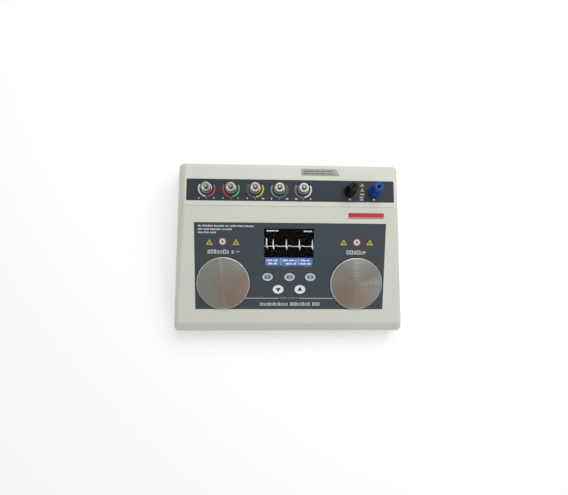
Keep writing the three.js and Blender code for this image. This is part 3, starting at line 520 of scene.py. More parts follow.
def piece(name, form, finish, place=onCase, body="console", replaced=()):
    mesh = meshFrom(form, name, place)
    mesh.materials.append(finishes[finish])
    smoothUnder(mesh)
    made = bpy.data.objects.new(name, mesh)
    scene.collection.objects.link(made)
    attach(made, body)
    if replaced:
        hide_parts(*replaced)
    return made


def carve(made, form, place=onCase, operation="DIFFERENCE"):
    # cut one form from a piece, or join it on
    mesh = meshFrom(form, "cutter", place)
    cutter = bpy.data.objects.new("cutter", mesh)
    scene.collection.objects.link(cutter)
    cut = made.modifiers.new("cut", "BOOLEAN")
    cut.operation = operation
    cut.solver = "MANIFOLD"
    cut.object = cutter
    result = bpy.data.meshes.new_from_object(made.evaluated_get(bpy.context.evaluated_depsgraph_get()))
    old = made.data
    made.modifiers.clear()
    made.data = result
    result.name = old.name
    bpy.data.meshes.remove(old)
    bpy.data.objects.remove(cutter)
    bpy.data.meshes.remove(mesh)


def cutCross(made, place, length, width, height, depth):
    # a cross recess in a screw's head
    for size in ((length, width, depth), (width, length, depth)):
        bar = bmesh.new()
        blockInto(bar, size, (0, 0, height))
        carve(made, bar, place)


def finishEdges(made, width, angle=40, segments=2):
    bevel = made.modifiers.new("edges", "BEVEL")
    bevel.width = width * mm
    bevel.segments = segments
    bevel.limit_method = "ANGLE"
    bevel.angle_limit = math.radians(angle)
    bevel.miter_outer = "MITER_ARC"
    smoothUnder(made.data, angle)
    weight = made.modifiers.new("normals", "WEIGHTED_NORMAL")
    weight.keep_sharp = True


print("camera, floor and light")
cameraSpec = {
    "place": (-31.15, -30.37, 534.23),   # from the middle of the face film, along the case's axes
    "turn": (6.171, -2.353, 0.4215),
    "lens": 23.81,
}
cameraData = bpy.data.cameras.new("camera")
cameraData.lens = cameraSpec["lens"]
cameraData.sensor_width = 36
cameraData.clip_start = 0.01
camera = bpy.data.objects.new("camera", cameraData)
scene.collection.objects.link(camera)
cameraPlace = Matrix.Translation(onFace.to_translation() + Vector(cameraSpec["place"]) * mm)
for angle, axis in zip(cameraSpec["turn"], "XYZ"):
    cameraPlace = cameraPlace @ Matrix.Rotation(math.radians(angle), 4, axis)
camera.matrix_world = cameraPlace
scene.camera = camera

floorForm = bmesh.new()
bmesh.ops.create_grid(floorForm, x_segments=1, y_segments=1, size=4)
floorMesh = meshFrom(floorForm, "floor", Matrix())
floor = bpy.data.objects.new("floor", floorMesh)
scene.collection.objects.link(floor)
floorFinish = Finish("floorWhite", (0.96, 0.96, 0.955), 0.9)
floorMesh.materials.append(floorFinish.material)

lightSpec = {
    "world": 0.54,
    "floorGlow": 0.2,
    "rearSoftbox": ((0.32, 0.6, 1.05), (1.1, 0.7), 7.0),   # place, size and power
    "frontFill": ((0.9, -0.9, 1.1), (0.9, 0.6), 1.8),
}


def softbox(name, target=(0, 0, 0.05)):
    place, size, power = lightSpec[name]
    data = bpy.data.lights.new(name, "AREA")
    data.shape = "RECTANGLE"
    data.size, data.size_y = size
    data.energy = power
    lamp = bpy.data.objects.new(name, data)
    aim = (Vector(target) - Vector(place)).to_track_quat("-Z", "Y")
    lamp.matrix_world = Matrix.Translation(place) @ aim.to_matrix().to_4x4()
    scene.collection.objects.link(lamp)


softbox("rearSoftbox")
softbox("frontFill")

# the floor reads as white to the camera and still keeps the shadow
floorPath = Wire(floorFinish.tree, floorFinish.tree.nodes.new("ShaderNodeLightPath").outputs["Is Camera Ray"])
floorFinish.shader.inputs["Emission Color"].default_value = (1, 1, 1, 1)
floorFinish.feed("Emission Strength", floorPath * lightSpec["floorGlow"])

world = bpy.data.worlds.new("studio")
scene.world = world
world.use_nodes = True
sky = world.node_tree.nodes["Background"]
sky.inputs["Color"].default_value = (1, 1, 1, 1)
rays = world.node_tree.nodes.new("ShaderNodeLightPath").outputs
seen, mirrored, through = [Wire(world.node_tree, rays[f"Is {kind} Ray"])
                           for kind in ("Camera", "Glossy", "Transmission")]
white = seen.atLeast(mirrored).atLeast(through)
brightness = white * (1 - lightSpec["world"]) + lightSpec["world"]
world.node_tree.links.new(brightness.socket, sky.inputs["Strength"])
scene.view_settings.view_transform = "Standard"

caseSpec = {
    "sideLean": 18.7,
    "frontSetback": 12,
    "bottomSetback": 4,
    "wall": 2.6,
    "edgeRadius": 6.5,
    "bottomRadius": 5,
    "cornerRadius": 7.5,
    "fineEdge": 0.25,
    "panelWindow": (150, 34, 3),   # width, height and corner of the hole behind the rear panel
    "grooveWidth": 0.9,
    "grooveDepth": 0.7,
}
halfWidth = upperHigh.x
halfDepth = upperHigh.y
upperBase = upperLow.z
footHeight = lowerLow.z
partingGap = 0.4
lowerTop = upperBase - partingGap
frontCreaseY = -halfDepth + caseSpec["frontSetback"]
frontHeight = deckHeight - (creaseY - frontCreaseY) * math.tan(faceTilt)
frontLean = math.atan(caseSpec["frontSetback"] / (frontHeight - upperBase))
sideLean = math.radians(caseSpec["sideLean"])
draft = math.atan(caseSpec["bottomSetback"] / (lowerTop - footHeight))


def wallPlane(normal, point):
    unit = Vector(normal).normalized()
    return unit, unit.dot(Vector(point))


def meetingPoint(planes, inset):
    rows = Matrix([normal for normal, offset in planes])
    return rows.inverted() @ Vector([offset - inset for normal, offset in planes])


def hullForm(corners, inset, insets, heights):
    # balls in the corners and a rounded outline at the parting line, wrapped tightly
    form = bmesh.new()
    radius = max(caseSpec["cornerRadius"] - inset, 1)
    for planes, ballRadius in corners:
        centre = Matrix.Translation(meetingPoint(planes, ballRadius))
        ball = {"u_segments": 48, "v_segments": 24, "radius": ballRadius - inset}
        bmesh.ops.create_uvsphere(form, matrix=centre, **ball)
    for height in heights:
        for x, y in ((-1, -1), (1, -1), (1, 1), (-1, 1)):
            spotX = x * (halfWidth - insets[0] - radius)
            spotY = y * (halfDepth - insets[1 if y < 0 else 2] - radius)
            bmesh.ops.create_circle(form, segments=48, radius=radius, matrix=slid(spotX, spotY, height))
    bmesh.ops.delete(form, geom=form.edges[:] + form.faces[:], context="EDGES_FACES")
    wrapped = bmesh.ops.convex_hull(form, input=form.verts[:], use_existing_faces=False)
    loose = [part for part in wrapped["geom_interior"] if isinstance(part, bmesh.types.BMVert)]
    bmesh.ops.delete(form, geom=loose, context="VERTS")
    faceOutwards(form)
    bmesh.ops.dissolve_limit(form, angle_limit=math.radians(0.4), verts=form.verts[:], edges=form.edges[:])
    return form


def upperForm(inset, base=0.0):
    deckPlane = wallPlane((0, 0, 1), (0, 0, deckHeight))
    facePlane = wallPlane(faceNormal, (0, creaseY, deckHeight))
    frontNormal = (0, -math.cos(frontLean), math.sin(frontLean))
    frontPlane = wallPlane(frontNormal, (0, -halfDepth, upperBase))
    rearPlane = wallPlane(rearNormal, (0, halfDepth, upperBase))
    corners = []
    for side in (-1, 1):
        sideNormal = (side * math.cos(sideLean), 0, math.sin(sideLean))
        beside = wallPlane(sideNormal, (side * halfWidth, 0, upperBase))
        for planes in ((facePlane, beside, frontPlane), (facePlane, beside, deckPlane),
                       (deckPlane, beside, rearPlane)):
            corners.append((planes, caseSpec["edgeRadius"]))
    insets = [inset / math.cos(lean) for lean in (sideLean, frontLean, rearLean)]
    heights = (upperBase,) if base == 0 else (upperBase, upperBase - base)
    return hullForm(corners, inset, insets, heights)


def lowerForm(inset, rise=0.0):
    under = wallPlane((0, 0, -1), (0, 0, footHeight))
    corners = []
    for side in (-1, 1):
        besideNormal = (side * math.cos(draft), 0, -math.sin(draft))
        beside = wallPlane(besideNormal, (side * halfWidth, 0, lowerTop))
        for end in (-1, 1):
            endNormal = (0, end * math.cos(draft), -math.sin(draft))
            endPlane = wallPlane(endNormal, (0, end * halfDepth, lowerTop))
            corners.append(((under, beside, endPlane), caseSpec["bottomRadius"]))
    flat = inset / math.cos(draft)
    heights = (lowerTop,) if rise == 0 else (lowerTop, lowerTop + rise)
    return hullForm(corners, inset, (flat, flat, flat), heights)


def localBox(node, place):
    # a CAD node's box in one of the local frames, in millimetres
    back = place.inverted()
    spots = [back @ point.co for point in frame["nodes"][node].data.vertices]
    return [Vector([pick(spot[axis] for spot in spots) for axis in range(3)]) for pick in (min, max)]


slip = 0.3
filmLow, filmHigh = localBox("main_overlay", onFace)
windowLow, windowHigh = localBox("display_window", onFace)
windowMiddle = (windowLow + windowHigh) / 2
windowSize = windowHigh - windowLow
filmSize = filmHigh - filmLow
stripSize = stripHigh - stripLow
stripMiddle = stripFrontMargin + stripSize.y / 2
keyNames = ["key_f1", "key_f2", "key_f3", "key_down", "key_up"]
keyFlange = 1.2


def spotOf(node, place):
    low, high = localBox(node, place)
    return ((low.x + high.x) / 2, (low.y + high.y) / 2)


keyMiddles = {name: spotOf(name, onFace) for name in keyNames}
keyReach = {}
for name in keyNames:
    low, high = localBox(name, onFace)
    keyReach[name] = ((high.x - low.x) / 2 - keyFlange, (high.y - low.y) / 2 - keyFlange)
keyRise = localBox("key_f1", onFace)[1].z
plateMiddles = {side: spotOf(f"{side}_plate", onFace) for side in ("sternum", "apex")}
low, high = localBox("apex_plate", onFace)
plateRadius = (high.x - low.x) / 2
plateStudLow, plateTop = low.z, high.z
ecgMiddles = [spotOf(f"ecg_post_{number}", onDeck) for number in range(1, 6)]
ecgLow, ecgHigh = [corner.z for corner in localBox("ecg_post_5", onDeck)]
bindingMiddles = {colour: spotOf(f"{colour}_post_knob", onDeck) for colour in ("black", "blue")}
knobLow, knobTop = [corner.z for corner in localBox("blue_post_knob", onDeck)]
legendLow, legendHigh = localBox("legend_plate", onDeck)
wall = caseSpec["wall"]
pocketDepth = filmThickness + slip
# radii of the holes in the films and the upper case
holeSpec = {"plateStud": 4.8, "ecgShank": 2.8, "bindingBarrel": 5.3}


def faceHoles(form, low, high):
    for name in keyNames:
        reach = [part + slip for part in keyReach[name]]
        joinInto(form, discForm(48, 1, low, high, spread=reach), slid(*keyMiddles[name]))
    for middle in plateMiddles.values():
        joinInto(form, rodForm(holeSpec["plateStud"], low, high), slid(*middle))
    return form


def deckHoles(low, high):
    form = bmesh.new()
    for middle in ecgMiddles:
        joinInto(form, rodForm(holeSpec["ecgShank"], low, high), slid(*middle))
    for middle in bindingMiddles.values():
        joinInto(form, rodForm(holeSpec["bindingBarrel"], low, high), slid(*middle))
    return form


print("upper case")
upper = piece("upper_case", upperForm(0), "casePlastic", replaced=("upper_shell",))
carve(upper, upperForm(wall, base=1.0))

filmPocket = slabForm(filmSize.x + 2 * slip, filmSize.y + 2 * slip, -pocketDepth, 6, 0.6)
carve(upper, filmPocket, onFace)
windowPocket = slabForm(windowSize.x + 2 * slip, windowSize.y + 2 * slip, windowLow.z - slip, 1, 0.6,
                        centre=windowMiddle.xy)
carve(upper, windowPocket, onFace)
windowHole = slabForm(windowSize.x - 1, windowSize.y - 1, -2 * wall, 1, centre=windowMiddle.xy)
carve(upper, faceHoles(windowHole, -2 * wall, wall), onFace)

deckPockets = slabForm(stripSize.x + 2 * slip, stripSize.y + 2 * slip, -pocketDepth, wall, 1.5,
                       centre=(0, stripMiddle))


def trapeziumForm(inset, low, high):
    # the legend plate's outline, its right end slanting in towards the back
    form = slabForm(legendHigh.x - legendLow.x - 2 * inset, legendHigh.y - legendLow.y - 2 * inset, low, high,
                    centre=((legendLow.x + legendHigh.x) / 2, (legendLow.y + legendHigh.y) / 2))
    for point in form.verts:
        if point.co.x > legendLow.x + 10 and point.co.y > legendLow.y + 5:
            point.co.x -= 5.4
    return form


joinInto(deckPockets, trapeziumForm(-slip, legendLow.z - 0.1, wall))
groove = bmesh.new()
blockInto(groove, (2 * halfWidth, caseSpec["grooveWidth"], 2 * caseSpec["grooveDepth"]), (0, 0, 0))
joinInto(deckPockets, groove, Matrix.Rotation(faceTilt / 2, 4, "X"))
carve(upper, deckPockets, onDeck)
carve(upper, deckHoles(-2 * wall, wall), onDeck)
across, down, corner = caseSpec["panelWindow"]
carve(upper, slabForm(across, down, -2 * wall, 2 * wall, corner), onRear)
finishEdges(upper, caseSpec["fineEdge"])

print("lower case, feet and screws")
lowerSpec = {"boss": 4.6, "counterbore": 3.9, "boreDepth": 2.6, "screwHole": 2.1, "footHole": 2.3}
screwPlaces = {}
footPlaces = {}
for end in ("front_left", "front_right", "rear_right", "rear_left"):
    screwPlaces[end] = middleOf(f"case_screw_{end}").xy
    footPlaces[end] = middleOf(f"foot_{end}").xy
lower = piece("lower_case", lowerForm(0), "casePlastic", replaced=("lower_shell",))
carve(lower, lowerForm(wall, rise=1.0))


def frameForm(width, depth, corner, wallWidth, low, high, centre=(0, 0)):
    form = outlineForm(width, depth, low, corner, centre)
    inner = form.faces[:]
    bmesh.ops.inset_region(form, faces=inner, thickness=wallWidth, use_even_offset=True)
    bmesh.ops.delete(form, geom=inner, context="FACES")
    return raised(form, high - low)


lipSpec = {"wallWidth": 1.4, "height": 2, "root": 3, "corner": 5}
lipSide, lipFront, lipRear = [wall / math.cos(lean) + lipSpec["height"] * math.tan(lean) + slip
                              for lean in (sideLean, frontLean, rearLean)]
lipWidth = 2 * (halfWidth - lipSide)
lipDepth = 2 * halfDepth - lipFront - lipRear
lipMiddle = (lipFront - lipRear) / 2
lipLow = lowerTop - lipSpec["root"]
lipRoot = frameForm(2 * (halfWidth - wall), 2 * (halfDepth - wall), lipSpec["corner"], 3, lipLow, lowerTop)
carve(lower, lipRoot, onCase, "UNION")
lipRing = frameForm(lipWidth, lipDepth, lipSpec["corner"], lipSpec["wallWidth"], lipLow,
                    lowerTop + lipSpec["height"], (0, lipMiddle))
carve(lower, lipRing, onCase, "UNION")
for middle in screwPlaces.values():
    carve(lower, rodForm(lowerSpec["boss"], footHeight + 1, lowerTop), onCase @ slid(*middle), "UNION")
bore, hole, shoulder = lowerSpec["counterbore"], lowerSpec["screwHole"], footHeight + lowerSpec["boreDepth"]
screwBores = bmesh.new()
for end, middle in screwPlaces.items():
    profile = [(0, 3), (bore, 3), (bore, shoulder), (hole, shoulder), (hole, lowerTop + 1), (0, lowerTop + 1)]
    joinInto(screwBores, turnedForm(profile, 32), slid(*middle))
    joinInto(screwBores, rodForm(lowerSpec["footHole"], 3, footHeight + wall + 1), slid(*footPlaces[end]))
carve(lower, screwBores)
finishEdges(lower, caseSpec["fineEdge"])

footSpec = {"radius": 7.5, "pin": 2, "pinLength": 2.2, "edge": 0.7}
footRadius, pin, footTop = footSpec["radius"], footSpec["pin"], footHeight - 0.1
pinTop = footTop + footSpec["pinLength"]
footProfile = [(0, 0), (footRadius, 0), (footRadius, footTop), (pin, footTop), (pin, pinTop), (0, pinTop)]
for end, middle in footPlaces.items():
    foot = turnedForm(footProfile, 48, footSpec["edge"])
    piece(f"rubber_foot_{end}", foot, "rubber", onCase @ slid(*middle), replaced=(f"foot_{end}",))

screwSpec = {"head": 3.6, "headLow": 4.3, "headHigh": 6.5, "shank": 1.8, "length": 34, "pitch": 0.8,
             "threadDepth": 0.35, "cross": (4.2, 0.9)}
head, shank, headLow, headHigh = [screwSpec[part] for part in ("head", "shank", "headLow", "headHigh")]
screwProfile = [(0, headLow), (head, headLow), (head, headHigh), (shank, headHigh)]
turn = headHigh
while turn < headHigh + screwSpec["length"] - 1.2:
    screwProfile += [(shank, turn + 0.2), (shank - screwSpec["threadDepth"], turn + 0.6)]
    turn += screwSpec["pitch"]
screwProfile += [(shank - 0.5, turn), (0, turn + 0.4)]
for end, middle in screwPlaces.items():
    place = onCase @ slid(*middle)
    screw = piece(f"case_screw_{end}_finished", turnedForm(screwProfile, 24, 0.1, 1), "nickel",
                  place, replaced=(f"case_screw_{end}",))
    cutCross(screw, place, *screwSpec["cross"], headLow, 2)

labelSpec = {"width": 92, "depth": 46, "thickness": 0.12, "rows": 6, "pitch": 6}
labelLow = footHeight - labelSpec["thickness"]
label = slabForm(labelSpec["width"], labelSpec["depth"], labelLow, footHeight + 0.02, 2)
piece("blank_label", label, "legendGrey")
labelPrint = bmesh.new()
for row in range(labelSpec["rows"]):
    words(labelPrint, -40, -16 + labelSpec["pitch"] * row, 78 - 11 * (row % 3), 2.1)
underLabel = onCase @ slid(0, 0, labelLow) @ Matrix.Rotation(math.pi, 4, "Y")
piece("blank_label_print", labelPrint, "inkDark", underLabel)

inkLow, inkHigh = -0.02, 0.03
inkTop = 0.06


def addInk(prints, finish, form, x=0.0, y=0.0):
    joinInto(prints.setdefault(finish, bmesh.new()), form, slid(x, y))


def addWords(prints, finish, left, base, length, height, wordRange=(3, 8)):
    words(prints.setdefault(finish, bmesh.new()), left, base, length, height, inkLow, inkHigh, wordRange)


def triangleMark(prints, x, y, size):
    # a plain yellow triangle with a smaller dark one in it
    addInk(prints, "inkYellow", discForm(3, size, inkLow, inkHigh, soft=size * 0.16), x, y)
    addInk(prints, "inkDark", discForm(3, size * 0.52, inkHigh - 0.01, inkTop, soft=size * 0.08), x, y)
    addInk(prints, "inkYellow", discForm(12, size * 0.15, inkTop - 0.01, inkTop + 0.03), x, y)


def roundMark(prints, x, y, size):
    # a white spot with a red ring round it and a plain dark spot in the middle
    addInk(prints, "inkWhite", discForm(32, size * 0.94, inkLow, inkHigh), x, y)
    addInk(prints, "inkRed", arcForm(size * 0.74, size, inkLow, inkTop, 0, 180), x, y)
    addInk(prints, "inkRed", arcForm(size * 0.74, size, inkLow, inkTop, 180, 360), x, y)
    addInk(prints, "inkBrown", discForm(6, size * 0.34, inkHigh - 0.01, inkTop, (0.8, 1.15)), x, y)


def layPrints(prints, prefix, place):
    for finish, form in prints.items():
        name = finish.replace("ink", "").lower()
        piece(f"{prefix}_{name}", form, finish, place)


print("face film and its printing")
filmForm = slabForm(filmSize.x, filmSize.y, -filmThickness, 0, 0.5)
film = piece("face_film", filmForm, "slateFilm", onFace, replaced=("main_overlay",))
filmWindow = slabForm(windowSize.x + 2 * slip, windowSize.y + 2 * slip, -2, 2, 0.6, centre=windowMiddle.xy)
carve(film, faceHoles(filmWindow, -2, 2), onFace)
finishEdges(film, 0.12, segments=1)

facePrint = {
    "notes": [(-129.8, 56.2, 76.9), (-129.8, 51.5, 46.4), (-129.8, 47.0, 25.1)],
    "noteHeight": 2.2,
    "triangles": [(-114, 33.2), (-77, 33.4), (75.4, 34.1), (113, 34.3)],
    "rounds": [(-95.8, 35.2), (94.4, 35.5)],
    "markSize": 5.6,
    "roundSize": 5.6,
    "names": [(-116.5, 18.2, 36.5), (80.1, 18.2, 20.5)],
    "nameHeight": 5.6,
    # a minus and a plus in bars: middle, width and height
    "signs": [(-74.6, 21, 4.6, 0.9), (105.9, 21, 4.6, 0.9), (105.9, 22.375, 0.9, 1.85),
              (105.9, 19.625, 0.9, 1.85)],
    "ruleHeight": -46.1,
    "rules": [(-64.5, -15.8), (12.7, 64.5)],
    "subtitle": (-14.4, -46.9, 24.8, 2.6),   # left, base, length and letter height
    "title": (-42.7, -56.9, 83.5, 4.7),
}
facePrints = {}
for left, base, length in facePrint["notes"]:
    addWords(facePrints, "inkWhite", left, base, length, facePrint["noteHeight"])
for x, y in facePrint["triangles"]:
    triangleMark(facePrints, x, y, facePrint["markSize"])
for x, y in facePrint["rounds"]:
    roundMark(facePrints, x, y, facePrint["roundSize"])
for left, base, length in facePrint["names"]:
    addWords(facePrints, "inkWhite", left, base, length, facePrint["nameHeight"], (7, 7))
for x, y, across, down in facePrint["signs"]:
    addInk(facePrints, "inkWhite", slabForm(across, down, inkLow, inkHigh), x, y)
for left, right in facePrint["rules"]:
    addInk(facePrints, "inkWhite", slabForm(right - left, 0.75, inkLow, inkHigh), (left + right) / 2,
           facePrint["ruleHeight"])
addWords(facePrints, "inkOlive", *facePrint["subtitle"], (5, 6))
addWords(facePrints, "inkWhite", *facePrint["title"], (8, 13))
layPrints(facePrints, "face_print", onFace)

# a badge of two bars: each one's middle, height and corner
badgeSpec = {"middle": 106.25, "width": 50.9, "bars": [(73.9, 6.4, 1.2), (69.5, 1.1, 0.5)]}
badge = {}
for middle, tall, corner in badgeSpec["bars"]:
    bar = slabForm(badgeSpec["width"], tall, inkLow, inkHigh, corner)
    addInk(badge, "inkRed", bar, badgeSpec["middle"], middle)
layPrints(badge, "case_badge", onFace)

print("display")
screenSpec = {
    "barLow": 1.3,
    "barHigh": 12.5,
    "side": 1.0,
    "trace": 0.72,
    "base": 28.9,
    # left, base, length, letter height and letters in a word
    "lines": [(-33.6, 7.7, 15.0, 2.4, (4, 6)), (-10.6, 7.7, 18.5, 2.4, (4, 6)),
              (14.6, 7.7, 12.5, 2.4, (4, 6)), (-31.6, 2.9, 11.0, 2.6, (3, 5)),
              (-6.2, 2.9, 12.5, 2.6, (3, 5)), (13.6, 2.9, 15.0, 2.6, (3, 5)),
              (-34.0, 50.0, 16.0, 1.9, (6, 8)), (18.6, 49.6, 12.0, 1.9, (6, 8))],
    "dividers": (-13.4, 11.3),
}
windowForm = slabForm(windowSize.x, windowSize.y, windowLow.z, windowHigh.z, 0.5, 0.2, windowMiddle.xy)
piece("clear_window", windowForm, "acrylic", onFace, replaced=("display_window",))
pictureBase = windowLow.z - slip + 0.03
pictureTop = pictureBase + 0.06
screen = slabForm(windowSize.x + 0.4, windowSize.y + 0.4, pictureBase, pictureTop, centre=windowMiddle.xy)
piece("picture_ground", screen, "pictureBlack", onFace)
barForm = slabForm(windowSize.x - 2 * screenSpec["side"], screenSpec["barHigh"] - screenSpec["barLow"],
                   pictureTop - 0.01, pictureTop + 0.03, 0.4,
                   centre=(windowMiddle.x, (screenSpec["barLow"] + screenSpec["barHigh"]) / 2))
piece("picture_bar", barForm, "pictureBlue", onFace)
writing = bmesh.new()
textLow, textHigh = pictureTop, pictureTop + 0.05
for left, base, length, height, wordRange in screenSpec["lines"]:
    words(writing, left, base, length, height, textLow, textHigh, wordRange)
for x in screenSpec["dividers"]:
    blockInto(writing, (0.4, 9.8, 0.06), (x, 6.9, textHigh - 0.03))
piece("picture_writing", writing, "pictureWhite", onFace)


def traceForm(points, width, low, high):
    # short bars laid end to end, with a round spot at each turn
    form = bmesh.new()
    for (x, y), (nextX, nextY) in zip(points, points[1:]):
        length = math.hypot(nextX - x, nextY - y)
        turn = Matrix.Rotation(math.atan2(nextY - y, nextX - x), 4, "Z")
        bar = bmesh.new()
        blockInto(bar, (length, width, high - low), (length / 2, 0, (low + high) / 2))
        joinInto(form, bar, slid(x, y) @ turn)
        joinInto(form, discForm(8, width / 2, low, high), slid(x, y))
    return form


beat = [(-4.6, 0), (-3.7, 0.9), (-2.8, 0), (-1.1, 0), (-0.7, -1.3), (0, 9.3), (0.7, -4.3), (1.3, 0),
        (3.0, 0.1), (4.6, 1.5), (6.2, 0)]
tracePoints = [(-36.4, 0), (-34.7, 0), (-34.3, 11.2), (-33.7, 11.2), (-33.3, -2.6), (-32.6, 0), (-30.4, 0)]
for middle in (-24.6, -6.0, 12.5):
    tracePoints += [(middle + x, y) for x, y in beat]
tracePoints += [(31.0 + x, y) for x, y in beat if x <= 1.3]
tracePoints = [(x, screenSpec["base"] + y) for x, y in tracePoints]
trace = traceForm(tracePoints, screenSpec["trace"], textLow, textHigh)
piece("picture_trace", trace, "pictureWhite", onFace)

print("paddle plates")
chamfer, stud = 1.0, 3
plateProfile = [(0, plateStudLow), (stud - 0.5, plateStudLow), (stud, plateStudLow + 0.5), (stud, slip),
                (plateRadius, slip), (plateRadius, plateTop - chamfer), (plateRadius - chamfer, plateTop),
                (0, plateTop)]
for side, middle in plateMiddles.items():
    plate = piece(f"{side}_contact_plate", turnedForm(plateProfile, 128, 0.18, 2), f"steel_{side}",
                  onFace @ slid(*middle), replaced=(f"{side}_plate",))
    # the chamfer and the edge get a lighter copy of the steel, a painted highlight, while the face keeps the
    # darker tone, a painted dark reflection
    plate.data.materials.append(finishes["rimSteelHighlight"])
    for polygon in plate.data.polygons:
        polygon.material_index = 1 if polygon.normal.dot(faceNormal) < 0.96 else 0

print("keys")
keySpec = {
    "rim": 1.5,
    "dish": 0.25,
    "stem": (2, -6.1),           # radius and lowest point
    "flange": (-4.1, -2.9),      # underside and top
    "numeral": 7.6,
    "arrow": (3.9, (1.1, 1.0)),  # size and stretch
}
top = keyRise - keySpec["dish"]


def keyForm(reachX, reachY):
    rim = keySpec["rim"]
    stem, stemLow = keySpec["stem"]
    flangeLow, flangeTop = keySpec["flange"]
    profile = [(0, stemLow), (stem, stemLow), (stem, flangeLow), (reachX + keyFlange, flangeLow),
               (reachX + keyFlange, flangeTop), (reachX, flangeTop), (reachX, keyRise),
               (reachX - rim, keyRise), (reachX - rim - 0.3, top), (0, top)]
    form = turnedForm(profile, 64, 0.35, 3)
    bmesh.ops.transform(form, matrix=Matrix.Diagonal((1, reachY / reachX, 1, 1)), verts=form.verts[:])
    return form


for name in keyNames:
    reachX, reachY = keyReach[name]
    place = onFace @ slid(*keyMiddles[name])
    finish, slot = ("keyGrey", "grey_key") if name.startswith("key_f") else ("keyWhite", "white_key")
    piece(f"{name}_cap", keyForm(reachX, reachY), finish, place, name, (name,))
    if name.startswith("key_f"):
        padReach = (reachX - keySpec["rim"] - 0.9, reachY - keySpec["rim"] - 0.7)
        piece(f"{name}_pad", discForm(48, 1, top - 0.02, top + 0.03, padReach), "inkGrey", place, name)
        numeral = numeralForm(name[-1], keySpec["numeral"], top, top + 0.07)
        piece(f"{name}_numeral", numeral, "inkWhite", place, name)
    else:
        turn = 0 if name == "key_up" else math.pi
        size, stretch = keySpec["arrow"]
        arrow = discForm(3, size, top - 0.02, top + 0.06, stretch, turn, 0.3)
        piece(f"{name}_arrow", arrow, "inkDark", place, name)

print("terminal film and its printing")
stripForm = slabForm(stripSize.x, stripSize.y, -filmThickness, 0, 1.5, centre=(0, stripMiddle))
strip = piece("terminal_film", stripForm, "stripFilm", onDeck, replaced=("terminal_overlay",))
carve(strip, deckHoles(-2, 2), onDeck)
finishEdges(strip, 0.12, segments=1)

arcSpec = {
    "inner": 10.1,
    "outer": 12.2,
    "border": 0.16,
    "spans": [(150, 264), (276, 390)],
    "pairs": [("inkWhite", "inkRed"), ("inkRed", "inkGreen"), ("inkDark", "inkYellow"),
              ("inkGreen", "inkDark"), ("inkBrown", "inkWhite")],
}
inner, outer, border = arcSpec["inner"], arcSpec["outer"], arcSpec["border"]
deckPrints = {}
for (x, y), inks in zip(ecgMiddles, arcSpec["pairs"]):
    for finish, (start, end) in zip(inks, arcSpec["spans"]):
        if finish in ("inkDark", "inkBrown"):
            edging = arcForm(inner - border, outer + border, inkLow, inkHigh, start - 2, end + 2)
            addInk(deckPrints, "inkWhite", edging, x, y)
            addInk(deckPrints, finish, arcForm(inner, outer, inkHigh - 0.01, inkTop, start, end), x, y)
        else:
            addInk(deckPrints, finish, arcForm(inner, outer, inkLow, inkHigh, start, end), x, y)
    addInk(deckPrints, "inkWhite", slabForm(0.7, 1.6, inkLow, inkHigh), x, 10.4)
    for reach in (-11.6, 9.4):
        addWords(deckPrints, "inkWhite", x + reach, 9.6, 1.6, 2.3, (2, 2))
for x, y in bindingMiddles.values():
    addWords(deckPrints, "inkWhite", x - 1.6, 9.9, 2.2, 2.3, (2, 2))
bindingGap = (bindingMiddles["black"][0] + bindingMiddles["blue"][0]) / 2 + 0.6
for y in (31.4, 24.2):
    triangleMark(deckPrints, bindingGap, y, 3.2)
addInk(deckPrints, "inkYellow", slabForm(6.2, 2.2, inkLow, inkHigh, 0.4), bindingGap, 18.3)
addWords(deckPrints, "inkWhite", bindingGap - 3.6, 12.9, 6.2, 2.1, (3, 3))
addWords(deckPrints, "inkWhite", bindingGap - 3.6, 9.6, 6.2, 1.7, (4, 4))
layPrints(deckPrints, "deck_print", onDeck)

legend = trapeziumForm(slip * 1.2, legendLow.z, legendHigh.z)
roundEdges(legend, topRim(legend, legendHigh.z), 0.15, 2)
piece("legend_badge", legend, "legendGrey", onDeck, replaced=("legend_plate",))
legendPrint = bmesh.new()
for base, length in ((50.2, 40), (46.6, 42)):
    words(legendPrint, 18.5, base, length, 1.8, legendHigh.z - 0.02, legendHigh.z + 0.03, (4, 9))
piece("legend_badge_print", legendPrint, "inkDark", onDeck)

print("lead posts")
ecgSpec = {
    "radii": (2.5, 7.5, 1.7, 2.1),   # shank, flange, stud and snap
    "flangeTop": 2.3,
    "pitch": 0.5,
    "ridges": 16,
    "ridgeDepth": 0.22,
    "nutRadius": 7,
    "nutHeight": 8,
    "facets": 12,
    "nutBore": 2.0,
    "nutMouth": 4.4,
}
shank, flange, stud, snap = ecgSpec["radii"]
flangeTop, pitch = ecgSpec["flangeTop"], ecgSpec["pitch"]
postProfile = [(0, ecgLow), (shank, ecgLow), (shank, slip), (flange, slip), (flange, flangeTop),
               (stud, flangeTop)]
for ridge in range(ecgSpec["ridges"]):
    crest = flangeTop + slip + pitch * ridge
    postProfile += [(stud, crest), (stud - ecgSpec["ridgeDepth"], crest + pitch / 2)]
postProfile += [(stud - 0.2, ecgHigh - 3.4), (snap, ecgHigh - 2.7), (snap, ecgHigh - 1.2),
                (snap * 0.55, ecgHigh), (0, ecgHigh)]
low = flangeTop + slip
high = low + ecgSpec["nutHeight"]
nutBore, nutMouth = ecgSpec["nutBore"], ecgSpec["nutMouth"]
boreProfile = [(0, low - 1), (nutBore, low - 1), (nutBore, high - 0.9), (nutMouth, high + 0.1),
               (nutMouth, high + 1), (0, high + 1)]
